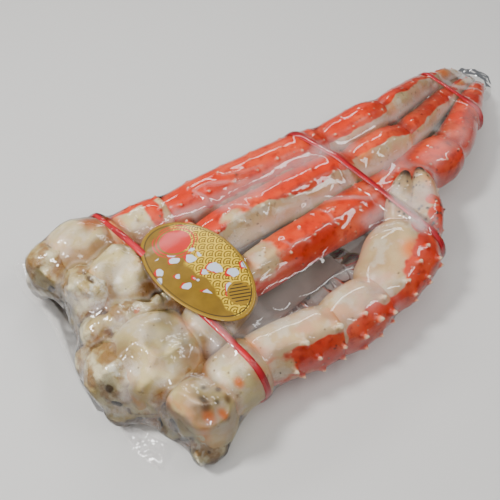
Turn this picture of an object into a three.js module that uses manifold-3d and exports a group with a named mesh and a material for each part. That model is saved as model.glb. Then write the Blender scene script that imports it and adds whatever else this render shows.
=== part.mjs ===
// A frozen shoulder section of a red king crab, vacuum packed: three walking legs and one claw, still
// joined to their share of the body, tied with three flat bands, with the free folds of the clear bag.
// Millimetres. +X runs from the cut shoulder to the tips of the legs, +Y to the rear leg, +Z up.
import * as THREE from 'three';
import { mergeVertices } from 'three/addons/utils/BufferGeometryUtils.js';
import Module from 'manifold-3d';

const wasm = await Module();
wasm.setup();

// The middle of the section's box in the layout, which becomes the origin of the part.
const LAYOUT_CENTRE = { x: 3.75, y: -2.6 };

// Gaps and levels.
const GAP = 0.35;
const FILM_THICK = 0.6;
const CRAB_REST = FILM_THICK + GAP;
const BAND_THICK = 0.7;
const BAND_REST = CRAB_REST + BAND_THICK + GAP;

// Faces round a limb piece and rings along it.
const BODY_SIDES = 14;
const SPINE_SIDES = 5;
const SPINE_ROOT = 1.6;
const SPINE_LEAN = 0.45;

const at = (x, y, z) => new THREE.Vector3(x, y, z);

// Where the joints of each limb lie, and half the width and half the height of each piece.
const LIMBS = {
  rear: {
    joints: {
      body: at(-208, 90, 27),
      coxa: at(-162, 75, 30),
      ischium: at(-118, 66, 32),
      merus: at(22, 34, 36),
      carpus: at(86, 24, 41),
      propodus: at(187, 33, 22),
      dactylus: at(243, 31, 1.6),
    },
    half: {
      coxa: [23, 25],
      ischium: [20, 20],
      merus: [19, 18.5],
      carpus: [17, 16],
      propodus: [13, 12.5],
      dactylus: [8.5, 8],
    },
  },
  middle: {
    joints: {
      body: at(-202, 44, 30),
      coxa: at(-163, 33, 34),
      ischium: at(-118, 24, 37),
      merus: at(14, 1, 38),
      carpus: at(77, -8, 38),
      propodus: at(185, 10, 20),
      dactylus: at(245, 18, 1.6),
    },
    half: {
      coxa: [27, 26],
      ischium: [23, 20],
      merus: [19, 18],
      carpus: [17, 16],
      propodus: [12.5, 12],
      dactylus: [8, 7.5],
    },
  },
  front: {
    joints: {
      body: at(-226, -16, 28),
      coxa: at(-174, -29, 31),
      ischium: at(-122, -17, 32.5),
      merus: at(40, -34, 26),
      carpus: at(99, -42, 34),
      propodus: at(188, -9, 25),
      dactylus: at(240, 8, 1.6),
    },
    half: {
      coxa: [31, 27],
      ischium: [20, 20],
      merus: [18.5, 18],
      carpus: [21.5, 17],
      propodus: [15.5, 13],
      dactylus: [9.5, 8.5],
    },
  },
  claw: {
    joints: {
      body: at(-215, -70, 27),
      coxa: at(-184, -66, 29),
      ischium: at(-154, -68, 30),
      merus: at(-100, -86.5, 28),
      carpus: at(-58, -89, 28),
      palm: at(3, -73, 36),
      pollex: at(33, -40, 52.5),
      dactylus: at(43, -44, 52),
    },
    half: {
      coxa: [24, 25],
      ischium: [22, 22],
      merus: [20, 19],
      carpus: [21.5, 19],
      palm: [28, 18.5],
      pollex: [10, 8.5],
      dactylus: [12.5, 9.5],
    },
  },
};

// How each kind of piece swells along its length, how blunt its ends are, how far it reaches back
// into the joint behind it, and its rows of spines, by angle round the piece: 0 faces +Y, 90 up.
const KINDS = {
  coxa: {
    swell: [[0, 0.86], [0.5, 1], [1, 0.86]],
    blunt: 3.8,
    reach: 2,
    rings: 8,
    rows: [],
  },
  ischium: {
    swell: [[0, 0.9], [0.45, 0.94], [1, 1]],
    blunt: 4,
    reach: 7,
    rings: 7,
    rows: [
      { angle: 110, count: 2, from: 0.45, to: 0.85, height: 2.6, radius: 2.3 },
      { angle: 55, count: 2, from: 0.5, to: 0.88, height: 2.4, radius: 2.1 },
    ],
  },
  merus: {
    swell: [[0, 0.86], [0.3, 0.92], [0.72, 1], [0.92, 1.02], [1, 0.96]],
    blunt: 7,
    reach: 6,
    rings: 11,
    bow: 3,
    rows: [
      { angle: 122, count: 7, from: 0.1, to: 0.94, height: 3, radius: 2.8 },
      { angle: 88, count: 5, from: 0.16, to: 0.9, height: 2.6, radius: 2.5 },
      { angle: 48, count: 5, from: 0.2, to: 0.93, height: 2.6, radius: 2.5 },
      { angle: 168, count: 3, from: 0.3, to: 0.9, height: 2.2, radius: 2.2 },
    ],
  },
  carpus: {
    swell: [[0, 0.88], [0.35, 1], [0.7, 1.02], [1, 0.92]],
    blunt: 5,
    reach: 8,
    rings: 9,
    bow: 2,
    rows: [
      { angle: 120, count: 4, from: 0.2, to: 0.88, height: 2.8, radius: 2.6 },
      { angle: 82, count: 4, from: 0.16, to: 0.86, height: 2.6, radius: 2.4 },
      { angle: 42, count: 3, from: 0.25, to: 0.85, height: 2.4, radius: 2.3 },
    ],
  },
  propodus: {
    swell: [[0, 0.98], [0.2, 1.06], [0.6, 0.92], [1, 0.74]],
    blunt: 6,
    reach: 7,
    rings: 10,
    bow: 2,
    rows: [
      { angle: 128, count: 6, from: 0.1, to: 0.93, height: 2, radius: 1.8 },
      { angle: 88, count: 5, from: 0.14, to: 0.9, height: 2.2, radius: 1.9 },
      { angle: 45, count: 5, from: 0.12, to: 0.92, height: 2, radius: 1.8 },
    ],
  },
  dactylus: {
    swell: [[0, 0.95], [0.25, 0.9], [0.6, 0.62], [0.85, 0.36], [1, 0.2]],
    blunt: 3,
    reach: 5,
    rings: 10,
    bow: 3,
    rows: [
      { angle: 120, count: 3, from: 0.15, to: 0.6, height: 1.4, radius: 1.3 },
      { angle: 60, count: 3, from: 0.15, to: 0.6, height: 1.4, radius: 1.3 },
    ],
  },
};

// The claw's own spines stand on its outer side, away from the legs.
const CLAW_KINDS = {
  coxa: KINDS.coxa,
  ischium: { ...KINDS.ischium, rows: [] },
  merus: {
    swell: [[0, 0.9], [0.5, 0.97], [0.85, 1.02], [1, 0.98]],
    blunt: 6,
    reach: 8,
    rings: 9,
    bow: 1,
    rows: [
      { angle: 118, count: 2, from: 0.55, to: 0.9, height: 4.4, radius: 3.6 },
      { angle: 158, count: 3, from: 0.35, to: 0.9, height: 4.4, radius: 3.4 },
      { angle: 194, count: 3, from: 0.45, to: 0.92, height: 3.6, radius: 3.2 },
    ],
  },
  carpus: {
    swell: [[0, 0.9], [0.5, 1.01], [1, 0.95]],
    blunt: 4.8,
    reach: 9,
    rings: 8,
    bow: 0,
    rows: [
      { angle: 112, count: 2, from: 0.45, to: 0.82, height: 4.4, radius: 3.4 },
      { angle: 148, count: 3, from: 0.3, to: 0.86, height: 4.6, radius: 3.5 },
      { angle: 185, count: 3, from: 0.3, to: 0.86, height: 3.8, radius: 3.2 },
    ],
  },
  palm: {
    swell: [[0, 0.68], [0.3, 0.88], [0.65, 1], [1, 0.9]],
    blunt: 4,
    reach: 9,
    rings: 10,
    bow: 1,
    rows: [
      { angle: 122, count: 4, from: 0.3, to: 0.93, height: 3.4, radius: 2.9 },
      { angle: 150, count: 4, from: 0.25, to: 0.92, height: 3.8, radius: 3.1 },
      { angle: 178, count: 4, from: 0.25, to: 0.9, height: 3.4, radius: 2.9 },
    ],
  },
  finger: {
    swell: [[0, 1], [0.35, 0.98], [0.7, 0.76], [1, 0.5]],
    blunt: 3,
    reach: 7,
    rings: 9,
    bow: 3.5,
    rows: [
      { angle: 110, count: 3, from: 0.2, to: 0.7, height: 1.8, radius: 1.7 },
      { angle: 165, count: 3, from: 0.15, to: 0.65, height: 2, radius: 1.8 },
    ],
  },
};

// The cut body meat at the root of each limb, as lumps: centre and half sizes.
const MEAT = {
  rear: [
    { centre: at(-208, 88, 28), half: [20, 20, 25] },
    { centre: at(-219, 92, 15), half: [12, 14, 13] },
    { centre: at(-214, 74, 29), half: [12, 12, 17] },
  ],
  middle: [
    { centre: at(-204, 45, 31), half: [20, 22, 26] },
    { centre: at(-216, 40, 17), half: [12, 16, 14] },
    { centre: at(-204, 64, 24), half: [12, 12, 18] },
    { centre: at(-216, 18, 29), half: [14, 13, 18] },
  ],
  front: [
    { centre: at(-225, -14, 28), half: [20, 24, 23] },
    { centre: at(-231, 6, 20), half: [11, 15, 15] },
    { centre: at(-234, -27, 14), half: [11, 12, 12] },
  ],
  claw: [
    { centre: at(-204, -66, 26), half: [17, 20, 22] },
    { centre: at(-210, -82, 13), half: [13, 12, 12] },
    { centre: at(-218, -56, 16), half: [9, 12, 12] },
  ],
};
const LUMP_SIDES = 12;
const LUMP_RINGS = 8;
const LUMP_ROUGHNESS = 0.09;

// Flat bands tied round the bundle: where each crosses the middle, its width and its skew.
const BANDS = [
  { name: 'band_shoulder', x: -165, y: 10, width: 6, skew: 0 },
  { name: 'band_middle', x: 0, y: -10, width: 6, skew: 0 },
  { name: 'band_tips', x: 158, y: 0, width: 5, skew: 13 },
];

// The oval label, laid over the shoulder of the bundle.
const LABEL = { x: -146, y: -0.4, z: 59.3, long: 98, short: 57, thick: 0.6, droop: 6 };

// The free folds of the bag that lie flat on the table: under the shoulder, and past the tips.
const FILM_FOLDS = [
  {
    name: 'film_shoulder',
    outline: [
      [-222, 108], [-230, 100], [-231, 77], [-236, 44], [-241, 11], [-239, -28], [-230, -52],
      [-212, -66], [-190, -68], [-160, -58], [-136, -44], [-124, -14], [-120, 22], [-126, 54],
      [-146, 78], [-180, 96], [-204, 109],
    ],
  },
  {
    name: 'film_tips',
    outline: [
      [200, 2], [216, -8], [234, -9], [249, 2], [254, 14], [248, 27], [236, 40], [218, 44],
      [202, 38],
    ],
  },
];

// The plain slip of card under the front leg, tilted as the leg is.
const SLIP = { x: -97, y: -22, z: 12.2, long: 107, wide: 56, thick: 0.5, tilt: 3.6 };

// Colours of the finishes.
const FINISHES = {
  shell_red: { color: 0xd9482b, roughness: 0.35 },
  shell_cream: { color: 0xe2d3b4, roughness: 0.4 },
  meat: { color: 0xece4d0, roughness: 0.45 },
  band: { color: 0xc01820, roughness: 0.3 },
  label: { color: 0xbfa258, roughness: 0.3 },
  film: { color: 0xdfe6ea, roughness: 0.12 },
  slip: { color: 0x9d968f, roughness: 0.5 },
};

// A repeatable random number from 0 to 1.
function randomFrom(seed) {
  let state = seed;
  return () => {
    state = (state + 0x6d2b79f5) | 0;
    let mixed = Math.imul(state ^ (state >>> 15), 1 | state);
    mixed = (mixed + Math.imul(mixed ^ (mixed >>> 7), 61 | mixed)) ^ mixed;
    return ((mixed ^ (mixed >>> 14)) >>> 0) / 4294967296;
  };
}

// A closed three.js geometry as a solid that can be joined and cut.
function solidOf(geometry) {
  const bare = geometry.clone();
  bare.deleteAttribute('normal');
  bare.deleteAttribute('uv');
  const merged = mergeVertices(bare, 1e-4);
  return new wasm.Manifold(
    new wasm.Mesh({
      numProp: 3,
      vertProperties: Float32Array.from(merged.attributes.position.array),
      triVerts: Uint32Array.from(merged.index.array),
    }),
  );
}

// A solid as a named three.js mesh with its finish.
function meshOf(solid, name, finish) {
  const { vertProperties, triVerts } = solid.getMesh();
  const geometry = new THREE.BufferGeometry();
  geometry.setAttribute('position', new THREE.BufferAttribute(Float32Array.from(vertProperties), 3));
  geometry.setIndex(new THREE.BufferAttribute(Uint32Array.from(triVerts), 1));
  geometry.computeVertexNormals();
  const mesh = new THREE.Mesh(geometry, new THREE.MeshStandardMaterial(FINISHES[finish]));
  mesh.name = name;
  return mesh;
}

// The largest closed body of a solid, without loose scraps.
function largestOf(solid) {
  const bodies = solid.decompose();
  bodies.sort((a, b) => b.volume() - a.volume());
  return bodies[0];
}

// The swell of a piece at a share of its length.
function swellAt(swell, share) {
  for (let i = 1; i < swell.length; i += 1) {
    const [start, low] = swell[i - 1];
    const [end, high] = swell[i];
    if (share <= end) {
      const step = THREE.MathUtils.smoothstep(share, start, end);
      return THREE.MathUtils.lerp(low, high, step);
    }
  }
  return swell[swell.length - 1][1];
}

// One piece of a limb: a curved axis with an oval section, and where its surface lies.
class LimbPiece {
  constructor(start, end, half, kind, bend = at(0, 0, 1)) {
    const along = end.clone().sub(start).normalize();
    this.start = start.clone().addScaledVector(along, -kind.reach);
    this.end = end.clone();
    this.half = half;
    this.kind = kind;
    const bow = bend.clone().multiplyScalar(kind.bow ?? 0);
    const middle = this.start.clone().lerp(this.end, 0.5).addScaledVector(bow, 2);
    this.axis = new THREE.QuadraticBezierCurve3(this.start, middle, this.end);
  }

  frameAt(share) {
    const along = this.axis.getTangent(THREE.MathUtils.clamp(share, 0.001, 0.999));
    const side = at(0, 0, 1).cross(along).normalize();
    const up = along.clone().cross(side).normalize();
    return { along, side, up };
  }

  // A point at a share of the length and an angle round the axis, on the surface grown outwards.
  pointAt(share, angle, grown = 0) {
    const { along, side, up } = this.frameAt(share);
    const cap = (1 - Math.abs(2 * share - 1) ** this.kind.blunt) ** (1 / this.kind.blunt);
    const size = swellAt(this.kind.swell, share);
    const wide = (this.half[0] * size + grown) * cap;
    const high = (this.half[1] * size + grown) * cap;
    return this.axis
      .getPoint(share)
      .addScaledVector(along, grown * (2 * share - 1))
      .addScaledVector(side, wide * Math.cos(angle))
      .addScaledVector(up, high * Math.sin(angle));
  }

  outwardAt(share, angle) {
    const { side, up } = this.frameAt(share);
    return side
      .clone()
      .multiplyScalar(Math.cos(angle) * this.half[1])
      .addScaledVector(up, Math.sin(angle) * this.half[0])
      .normalize();
  }

  // The closed surface, made by laying a unit sphere along the axis.
  solid(grown = 0) {
    const sphere = new THREE.SphereGeometry(1, BODY_SIDES, this.kind.rings);
    const places = sphere.attributes.position;
    for (let i = 0; i < places.count; i += 1) {
      const share = THREE.MathUtils.clamp((1 - places.getY(i)) / 2, 0, 1);
      const onPole = share < 1e-6 || share > 1 - 1e-6;
      const angle = onPole ? 0 : Math.atan2(places.getZ(i), places.getX(i));
      const point = this.pointAt(share, angle, grown);
      places.setXYZ(i, point.x, point.y, point.z);
    }
    return solidOf(sphere);
  }

  spine(share, angle, height, radius, grown = 0) {
    const outward = this.outwardAt(share, angle);
    const lean = this.frameAt(share).along.multiplyScalar(SPINE_LEAN);
    const direction = outward.clone().add(lean).normalize();
    const length = height + SPINE_ROOT + 2 * grown;
    const cone = new THREE.ConeGeometry(radius + grown, length, SPINE_SIDES);
    cone.translate(0, length / 2 - SPINE_ROOT, 0);
    cone.applyQuaternion(new THREE.Quaternion().setFromUnitVectors(at(0, 1, 0), direction));
    const root = this.pointAt(share, angle);
    cone.translate(root.x, root.y, root.z);
    return solidOf(cone);
  }

  // Every spine of the piece's rows, with each row's places and heights varied a little.
  spines(random) {
    const placed = [];
    for (const row of this.kind.rows) {
      for (let i = 0; i < row.count; i += 1) {
        const step = row.count > 1 ? i / (row.count - 1) : 0.5;
        const share = THREE.MathUtils.lerp(row.from, row.to, step) + 0.03 * (random() - 0.5);
        const angle = THREE.MathUtils.degToRad(row.angle + 12 * (random() - 0.5));
        const scale = 0.85 + 0.3 * random();
        placed.push({ share, angle, height: row.height * scale, radius: row.radius * scale });
      }
    }
    return placed;
  }
}

// One lump of body meat, a sphere with a coarse uneven surface.
function lumpSolid(lump, random, grown = 0) {
  const sphere = new THREE.SphereGeometry(1, LUMP_SIDES, LUMP_RINGS);
  const merged = mergeVertices(sphere.deleteAttribute('normal').deleteAttribute('uv'), 1e-4);
  const places = merged.attributes.position;
  const { centre, half } = lump;
  for (let i = 0; i < places.count; i += 1) {
    const rough = 1 + LUMP_ROUGHNESS * (2 * random() - 1);
    const x = centre.x + places.getX(i) * (half[0] * rough + grown);
    const y = centre.y + places.getY(i) * (half[1] * rough + grown);
    const z = centre.z + places.getZ(i) * (half[2] * rough + grown);
    places.setXYZ(i, x, y, z);
  }
  return solidOf(merged);
}

const group = new THREE.Group();
const placed = [];

// A box from its lowest to its highest corner.
function boxSolid(low, high) {
  const size = high.clone().sub(low);
  const middle = low.clone().add(high).multiplyScalar(0.5);
  const box = new THREE.BoxGeometry(size.x, size.y, size.z);
  box.translate(middle.x, middle.y, middle.z);
  return solidOf(box);
}

// What the table, the lower film and the shoulder band take from the underside.
const shoulderBand = BANDS[0];
const underside = boxSolid(at(-400, -400, -50), at(400, 400, CRAB_REST)).add(
  boxSolid(
    at(shoulderBand.x - shoulderBand.width, -400, -50),
    at(shoulderBand.x + shoulderBand.width, 400, BAND_REST),
  ),
);

// Adds a node: its solid is cut clear of every node already placed, by the grown copy of each.
function place(name, finish, solid, grown) {
  let kept = solid;
  for (const other of placed) {
    kept = kept.subtract(other.grown);
  }
  kept = largestOf(kept);
  placed.push({ solid: kept, grown });
  group.add(meshOf(kept, name, finish));
}

// Adds one piece of a limb with its spines.
function placePiece(name, finish, pieces, random) {
  let solid = null;
  let grown = null;
  for (const piece of pieces) {
    const parts = [piece.solid()];
    const grownParts = [piece.solid(GAP)];
    for (const { share, angle, height, radius } of piece.spines(random)) {
      parts.push(piece.spine(share, angle, height, radius));
      grownParts.push(piece.spine(share, angle, height, radius, GAP));
    }
    solid = parts.reduce((sum, part) => sum.add(part), solid ?? parts[0]);
    grown = grownParts.reduce((sum, part) => sum.add(part), grown ?? grownParts[0]);
  }
  place(name, finish, solid.subtract(underside), grown);
}

const random = randomFrom(17);

// Adds the body meat at a limb's root.
function placeMeat(limbName) {
  let solid = null;
  let grown = null;
  MEAT[limbName].forEach((lump, i) => {
    const seed = 100 * (i + 1) + limbName.length;
    const part = lumpSolid(lump, randomFrom(seed));
    const wider = lumpSolid(lump, randomFrom(seed), GAP);
    solid = solid ? solid.add(part) : part;
    grown = grown ? grown.add(wider) : wider;
  });
  place(`${limbName}_body_meat`, 'meat', solid.subtract(underside), grown);
}

const LEG_ORDER = ['body', 'coxa', 'ischium', 'merus', 'carpus', 'propodus', 'dactylus'];
const CREAM_PIECES = ['coxa', 'ischium'];

// Adds a walking leg, from its coxa to its tip.
function placeLeg(limbName) {
  const { joints, half } = LIMBS[limbName];
  for (let i = 1; i < LEG_ORDER.length; i += 1) {
    const kindName = LEG_ORDER[i];
    const piece = new LimbPiece(
      joints[LEG_ORDER[i - 1]],
      joints[kindName],
      half[kindName],
      KINDS[kindName],
    );
    const finish = CREAM_PIECES.includes(kindName) ? 'shell_cream' : 'shell_red';
    placePiece(`${limbName}_${kindName}`, finish, [piece], random);
  }
}

const CLAW_ORDER = ['body', 'coxa', 'ischium', 'merus', 'carpus'];
const FINGER_SPREAD = 10.5;

// Adds the claw: its arm, then its palm with the fixed finger, then the finger that moves in life.
function placeClaw() {
  const { joints, half } = LIMBS.claw;
  for (let i = 1; i < CLAW_ORDER.length; i += 1) {
    const kindName = CLAW_ORDER[i];
    const piece = new LimbPiece(
      joints[CLAW_ORDER[i - 1]],
      joints[kindName],
      half[kindName],
      CLAW_KINDS[kindName],
    );
    const finish = CREAM_PIECES.includes(kindName) ? 'shell_cream' : 'shell_red';
    placePiece(`claw_${kindName}`, finish, [piece], random);
  }
  const palm = new LimbPiece(joints.carpus, joints.palm, half.palm, CLAW_KINDS.palm, at(0, -1, 0.5));
  const innerBase = joints.palm.clone().add(at(-4, FINGER_SPREAD, 0));
  const outerBase = joints.palm.clone().add(at(1, -FINGER_SPREAD, 1));
  const pollex = new LimbPiece(
    innerBase,
    joints.pollex,
    half.pollex,
    { ...CLAW_KINDS.finger, reach: 10, bow: 2 },
    at(-0.6, 0.4, 0.6),
  );
  placePiece('claw_palm', 'shell_red', [palm, pollex], random);
  const dactylus = new LimbPiece(
    outerBase,
    joints.dactylus,
    half.dactylus,
    CLAW_KINDS.finger,
    at(0.4, -0.3, 0.6),
  );
  placePiece('claw_dactylus', 'shell_red', [dactylus], random);
}

placeLeg('rear');
placeLeg('middle');
placeLeg('front');
placeClaw();
for (const limbName of Object.keys(MEAT)) {
  placeMeat(limbName);
}

// The convex outline of points in a plane, anticlockwise.
function hullOf(points) {
  const sorted = [...points].sort((a, b) => a.x - b.x || a.y - b.y);
  const turn = (o, a, b) => (a.x - o.x) * (b.y - o.y) - (a.y - o.y) * (b.x - o.x);
  const half = (list) => {
    const chain = [];
    for (const point of list) {
      while (chain.length > 1 && turn(chain[chain.length - 2], chain[chain.length - 1], point) <= 0) {
        chain.pop();
      }
      chain.push(point);
    }
    chain.pop();
    return chain;
  };
  return [...half(sorted), ...half(sorted.reverse())];
}

// A convex anticlockwise outline moved outwards.
function outset(outline, distance) {
  return outline.map((point, i) => {
    const before = outline[(i + outline.length - 1) % outline.length];
    const after = outline[(i + 1) % outline.length];
    const first = point.clone().sub(before).normalize();
    const second = after.clone().sub(point).normalize();
    const normalA = new THREE.Vector2(first.y, -first.x);
    const normalB = new THREE.Vector2(second.y, -second.x);
    const scale = distance / (1 + normalA.dot(normalB));
    return point.clone().addScaledVector(normalA.add(normalB), scale);
  });
}

// A flat band pulled tight round everything placed so far.
function placeBand(band) {
  const turnBack = new THREE.Matrix4()
    .makeRotationZ(THREE.MathUtils.degToRad(-band.skew))
    .setPosition(band.x, band.y, 0);
  const slab = new THREE.BoxGeometry(band.width + 1, 400, 300);
  slab.applyMatrix4(turnBack);
  const cutter = solidOf(slab);
  const toBand = turnBack.clone().invert();
  const points = [];
  for (const { solid } of placed) {
    const { vertProperties } = solid.intersect(cutter).getMesh();
    for (let i = 0; i < vertProperties.length; i += 3) {
      const point = at(vertProperties[i], vertProperties[i + 1], vertProperties[i + 2]);
      point.applyMatrix4(toBand);
      points.push(new THREE.Vector2(point.y, point.z));
    }
  }
  const inner = hullOf(points);
  const shape = new THREE.Shape(outset(inner, GAP + BAND_THICK));
  shape.holes.push(new THREE.Path(outset(inner, GAP)));
  const ring = new THREE.ExtrudeGeometry(shape, { depth: band.width, bevelEnabled: false });
  ring.translate(0, 0, -band.width / 2);
  const alongX = new THREE.Matrix4().makeBasis(at(0, 1, 0), at(0, 0, 1), at(1, 0, 0));
  ring.applyMatrix4(alongX);
  ring.applyMatrix4(turnBack);
  group.add(meshOf(solidOf(ring), band.name, 'band'));
}

BANDS.forEach(placeBand);

// The oval label: a thin disc that droops towards the ends of its length.
function placeLabel() {
  const { long, short, thick, droop } = LABEL;
  const top = thick / 2;
  const profile = [
    [0, -top], [0.35, -top], [0.7, -top], [1, -top], [1, top], [0.7, top], [0.35, top], [0, top],
  ].map(([radius, height]) => new THREE.Vector2(radius, height));
  const disc = new THREE.LatheGeometry(profile, 28);
  disc.rotateX(Math.PI / 2);
  const places = disc.attributes.position;
  for (let i = 0; i < places.count; i += 1) {
    const x = (places.getX(i) * short) / 2;
    const y = (places.getY(i) * long) / 2;
    const fall = droop * (2 * y / long) ** 2;
    places.setXYZ(i, LABEL.x + x, LABEL.y + y, LABEL.z + places.getZ(i) - fall);
  }
  group.add(meshOf(solidOf(disc), 'label', 'label'));
}

placeLabel();

// A free fold of the film, flat on the table.
function placeFold(fold) {
  const points = fold.outline.map(([x, y]) => at(x, y, 0));
  const curve = new THREE.CatmullRomCurve3(points, true, 'centripetal');
  const outline = curve.getPoints(points.length * 3).slice(0, -1);
  const shape = new THREE.Shape(outline.map(({ x, y }) => new THREE.Vector2(x, y)));
  const sheet = new THREE.ExtrudeGeometry(shape, { depth: FILM_THICK, bevelEnabled: false });
  group.add(meshOf(solidOf(sheet), fold.name, 'film'));
}

FILM_FOLDS.forEach(placeFold);

// The slip of card, cut clear of the leg that lies on it.
function placeSlip() {
  const card = new THREE.BoxGeometry(SLIP.long, SLIP.wide, SLIP.thick);
  card.rotateY(THREE.MathUtils.degToRad(SLIP.tilt));
  card.translate(SLIP.x, SLIP.y, SLIP.z);
  place('inner_slip', 'slip', solidOf(card), solidOf(card));
}

placeSlip();

group.position.set(-LAYOUT_CENTRE.x, -LAYOUT_CENTRE.y, 0);

export default group;
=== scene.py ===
"""A frozen shoulder section of a red king crab in its vacuum bag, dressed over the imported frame.

Sizes are in millimetres in the layout that the solids were drawn in: +X runs from the cut shoulder
to the tips of the legs, +Y to the rear leg, +Z up. Meshes are handed to Blender in metres, in the
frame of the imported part.
"""

import logging
import math
from dataclasses import dataclass, field
from enum import Enum

import bpy
import numpy as np
from mathutils import Matrix, Vector
from mathutils.bvhtree import BVHTree

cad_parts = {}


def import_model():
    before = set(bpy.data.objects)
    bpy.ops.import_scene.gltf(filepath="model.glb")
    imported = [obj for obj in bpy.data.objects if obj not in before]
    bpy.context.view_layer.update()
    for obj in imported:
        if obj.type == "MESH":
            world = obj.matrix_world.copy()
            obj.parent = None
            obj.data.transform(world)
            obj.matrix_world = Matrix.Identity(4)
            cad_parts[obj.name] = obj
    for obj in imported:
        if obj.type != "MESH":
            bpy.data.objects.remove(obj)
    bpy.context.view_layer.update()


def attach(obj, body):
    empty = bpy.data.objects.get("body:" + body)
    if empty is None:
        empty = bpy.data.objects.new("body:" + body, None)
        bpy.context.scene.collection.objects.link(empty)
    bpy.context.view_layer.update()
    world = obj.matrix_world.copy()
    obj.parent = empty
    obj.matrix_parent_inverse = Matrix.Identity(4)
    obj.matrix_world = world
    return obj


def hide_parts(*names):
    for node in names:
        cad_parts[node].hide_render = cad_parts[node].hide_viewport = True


logging.basicConfig(level=logging.INFO, format="%(message)s")
log = logging.getLogger("crab_section")

Array = np.ndarray
Place = tuple[float, float, float]
Line = tuple[tuple[float, float], ...]
MM = 0.001
LAYOUT_CENTRE = np.array([3.75, -2.6, 0.0])
BODY = "root"
UPWARDS: Place = (0.0, 0.0, 1.0)
SEED = 17


class Paint(Enum):
    """The layers of colour that a mesh carries on its points."""

    RED = "red"
    ORANGE = "orange"
    TIP = "tip"
    # Real dark specks and spine tips on the shell; on the meat, painted shade that fills the hollows
    # near-black.
    SPECK = "speck"
    SHADE = "shade"
    # Milky film, with painted sheen and highlight in places.
    HAZE = "haze"


# ---- Numbers that repeat from run to run


@dataclass
class Chance:
    """A repeatable run of numbers from 0 to 1."""

    state: int

    def next(self) -> float:
        """Return the next number."""
        low = 0xFFFFFFFF
        self.state = (self.state + 0x6D2B79F5) & low
        mixed = ((self.state ^ (self.state >> 15)) * (1 | self.state)) & low
        step = ((mixed ^ (mixed >> 7)) * (61 | mixed)) & low
        mixed = ((mixed + step) & low) ^ mixed
        return ((mixed ^ (mixed >> 14)) & low) / 4294967296

    def between(self, low: float, high: float) -> float:
        """Return a number from low to high."""
        return low + (high - low) * self.next()


@dataclass(frozen=True)
class Grain:
    """Smooth unevenness in space, from -1 to 1, that repeats from run to run."""

    seed: int

    def at(self, points: Array, size: float | tuple[float, float, float]) -> Array:
        """Read the grain at some points.

        Args:
            points: places in millimetres, with the three coordinates last.
            size: the size of one lump in millimetres, one number or one for each axis.

        Returns:
            One number for each point.
        """
        scaled = points / np.asarray(size) + 17.31 * (self.seed + 1)
        cell = np.floor(scaled)
        part = scaled - cell
        part = part * part * (3 - 2 * part)
        cell = cell.astype(np.int64)
        total = np.zeros(points.shape[:-1])
        for corner in range(8):
            step = np.array([corner & 1, corner >> 1 & 1, corner >> 2 & 1])
            near = np.where(step == 1, part, 1 - part).prod(axis=-1)
            total += near * self._value(cell + step)
        return total

    def layered(self, points: Array, size: float, layers: int = 3) -> Array:
        """Read finer and finer grain added together.

        Args:
            points: places in millimetres.
            size: the size of the coarsest lump.
            layers: how many sizes are added, each half of the one before.

        Returns:
            One number for each point, from about -1 to 1.
        """
        total = np.zeros(points.shape[:-1])
        weight = 0.0
        for layer in range(layers):
            share = 0.5**layer
            total += share * Grain(self.seed + 31 * layer).at(points, size * share)
            weight += share
        return total / weight

    def _value(self, cell: Array) -> Array:
        """Return a number for each cell of a grid.

        Args:
            cell: whole numbers, with the three coordinates last.

        Returns:
            Numbers from -1 to 1.
        """
        mixed = cell[..., 0] * 374761393 + cell[..., 1] * 668265263 + cell[..., 2] * 974634777
        mixed = (mixed + self.seed * 144269504) & 0xFFFFFFFF
        mixed = ((mixed ^ (mixed >> 13)) * 1274126177) & 0xFFFFFFFF
        mixed = mixed ^ (mixed >> 16)
        return (mixed & 0xFFFF) / 32767.5 - 1


def smooth_step(values: Array, low: float, high: float) -> Array:
    """Return 0 below low and 1 above high, with a smooth rise between.

    Args:
        values: any numbers.
        low: where the rise begins.
        high: where the rise ends. It may be less than low, and then the rise is a fall.

    Returns:
        Numbers from 0 to 1.
    """
    part = np.clip((values - low) / (high - low), 0, 1)
    return part * part * (3 - 2 * part)


def unit(vectors: Array) -> Array:
    """Return the vectors at length 1."""
    return vectors / np.maximum(np.linalg.norm(vectors, axis=-1, keepdims=True), 1e-9)


# ---- Meshes


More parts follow.
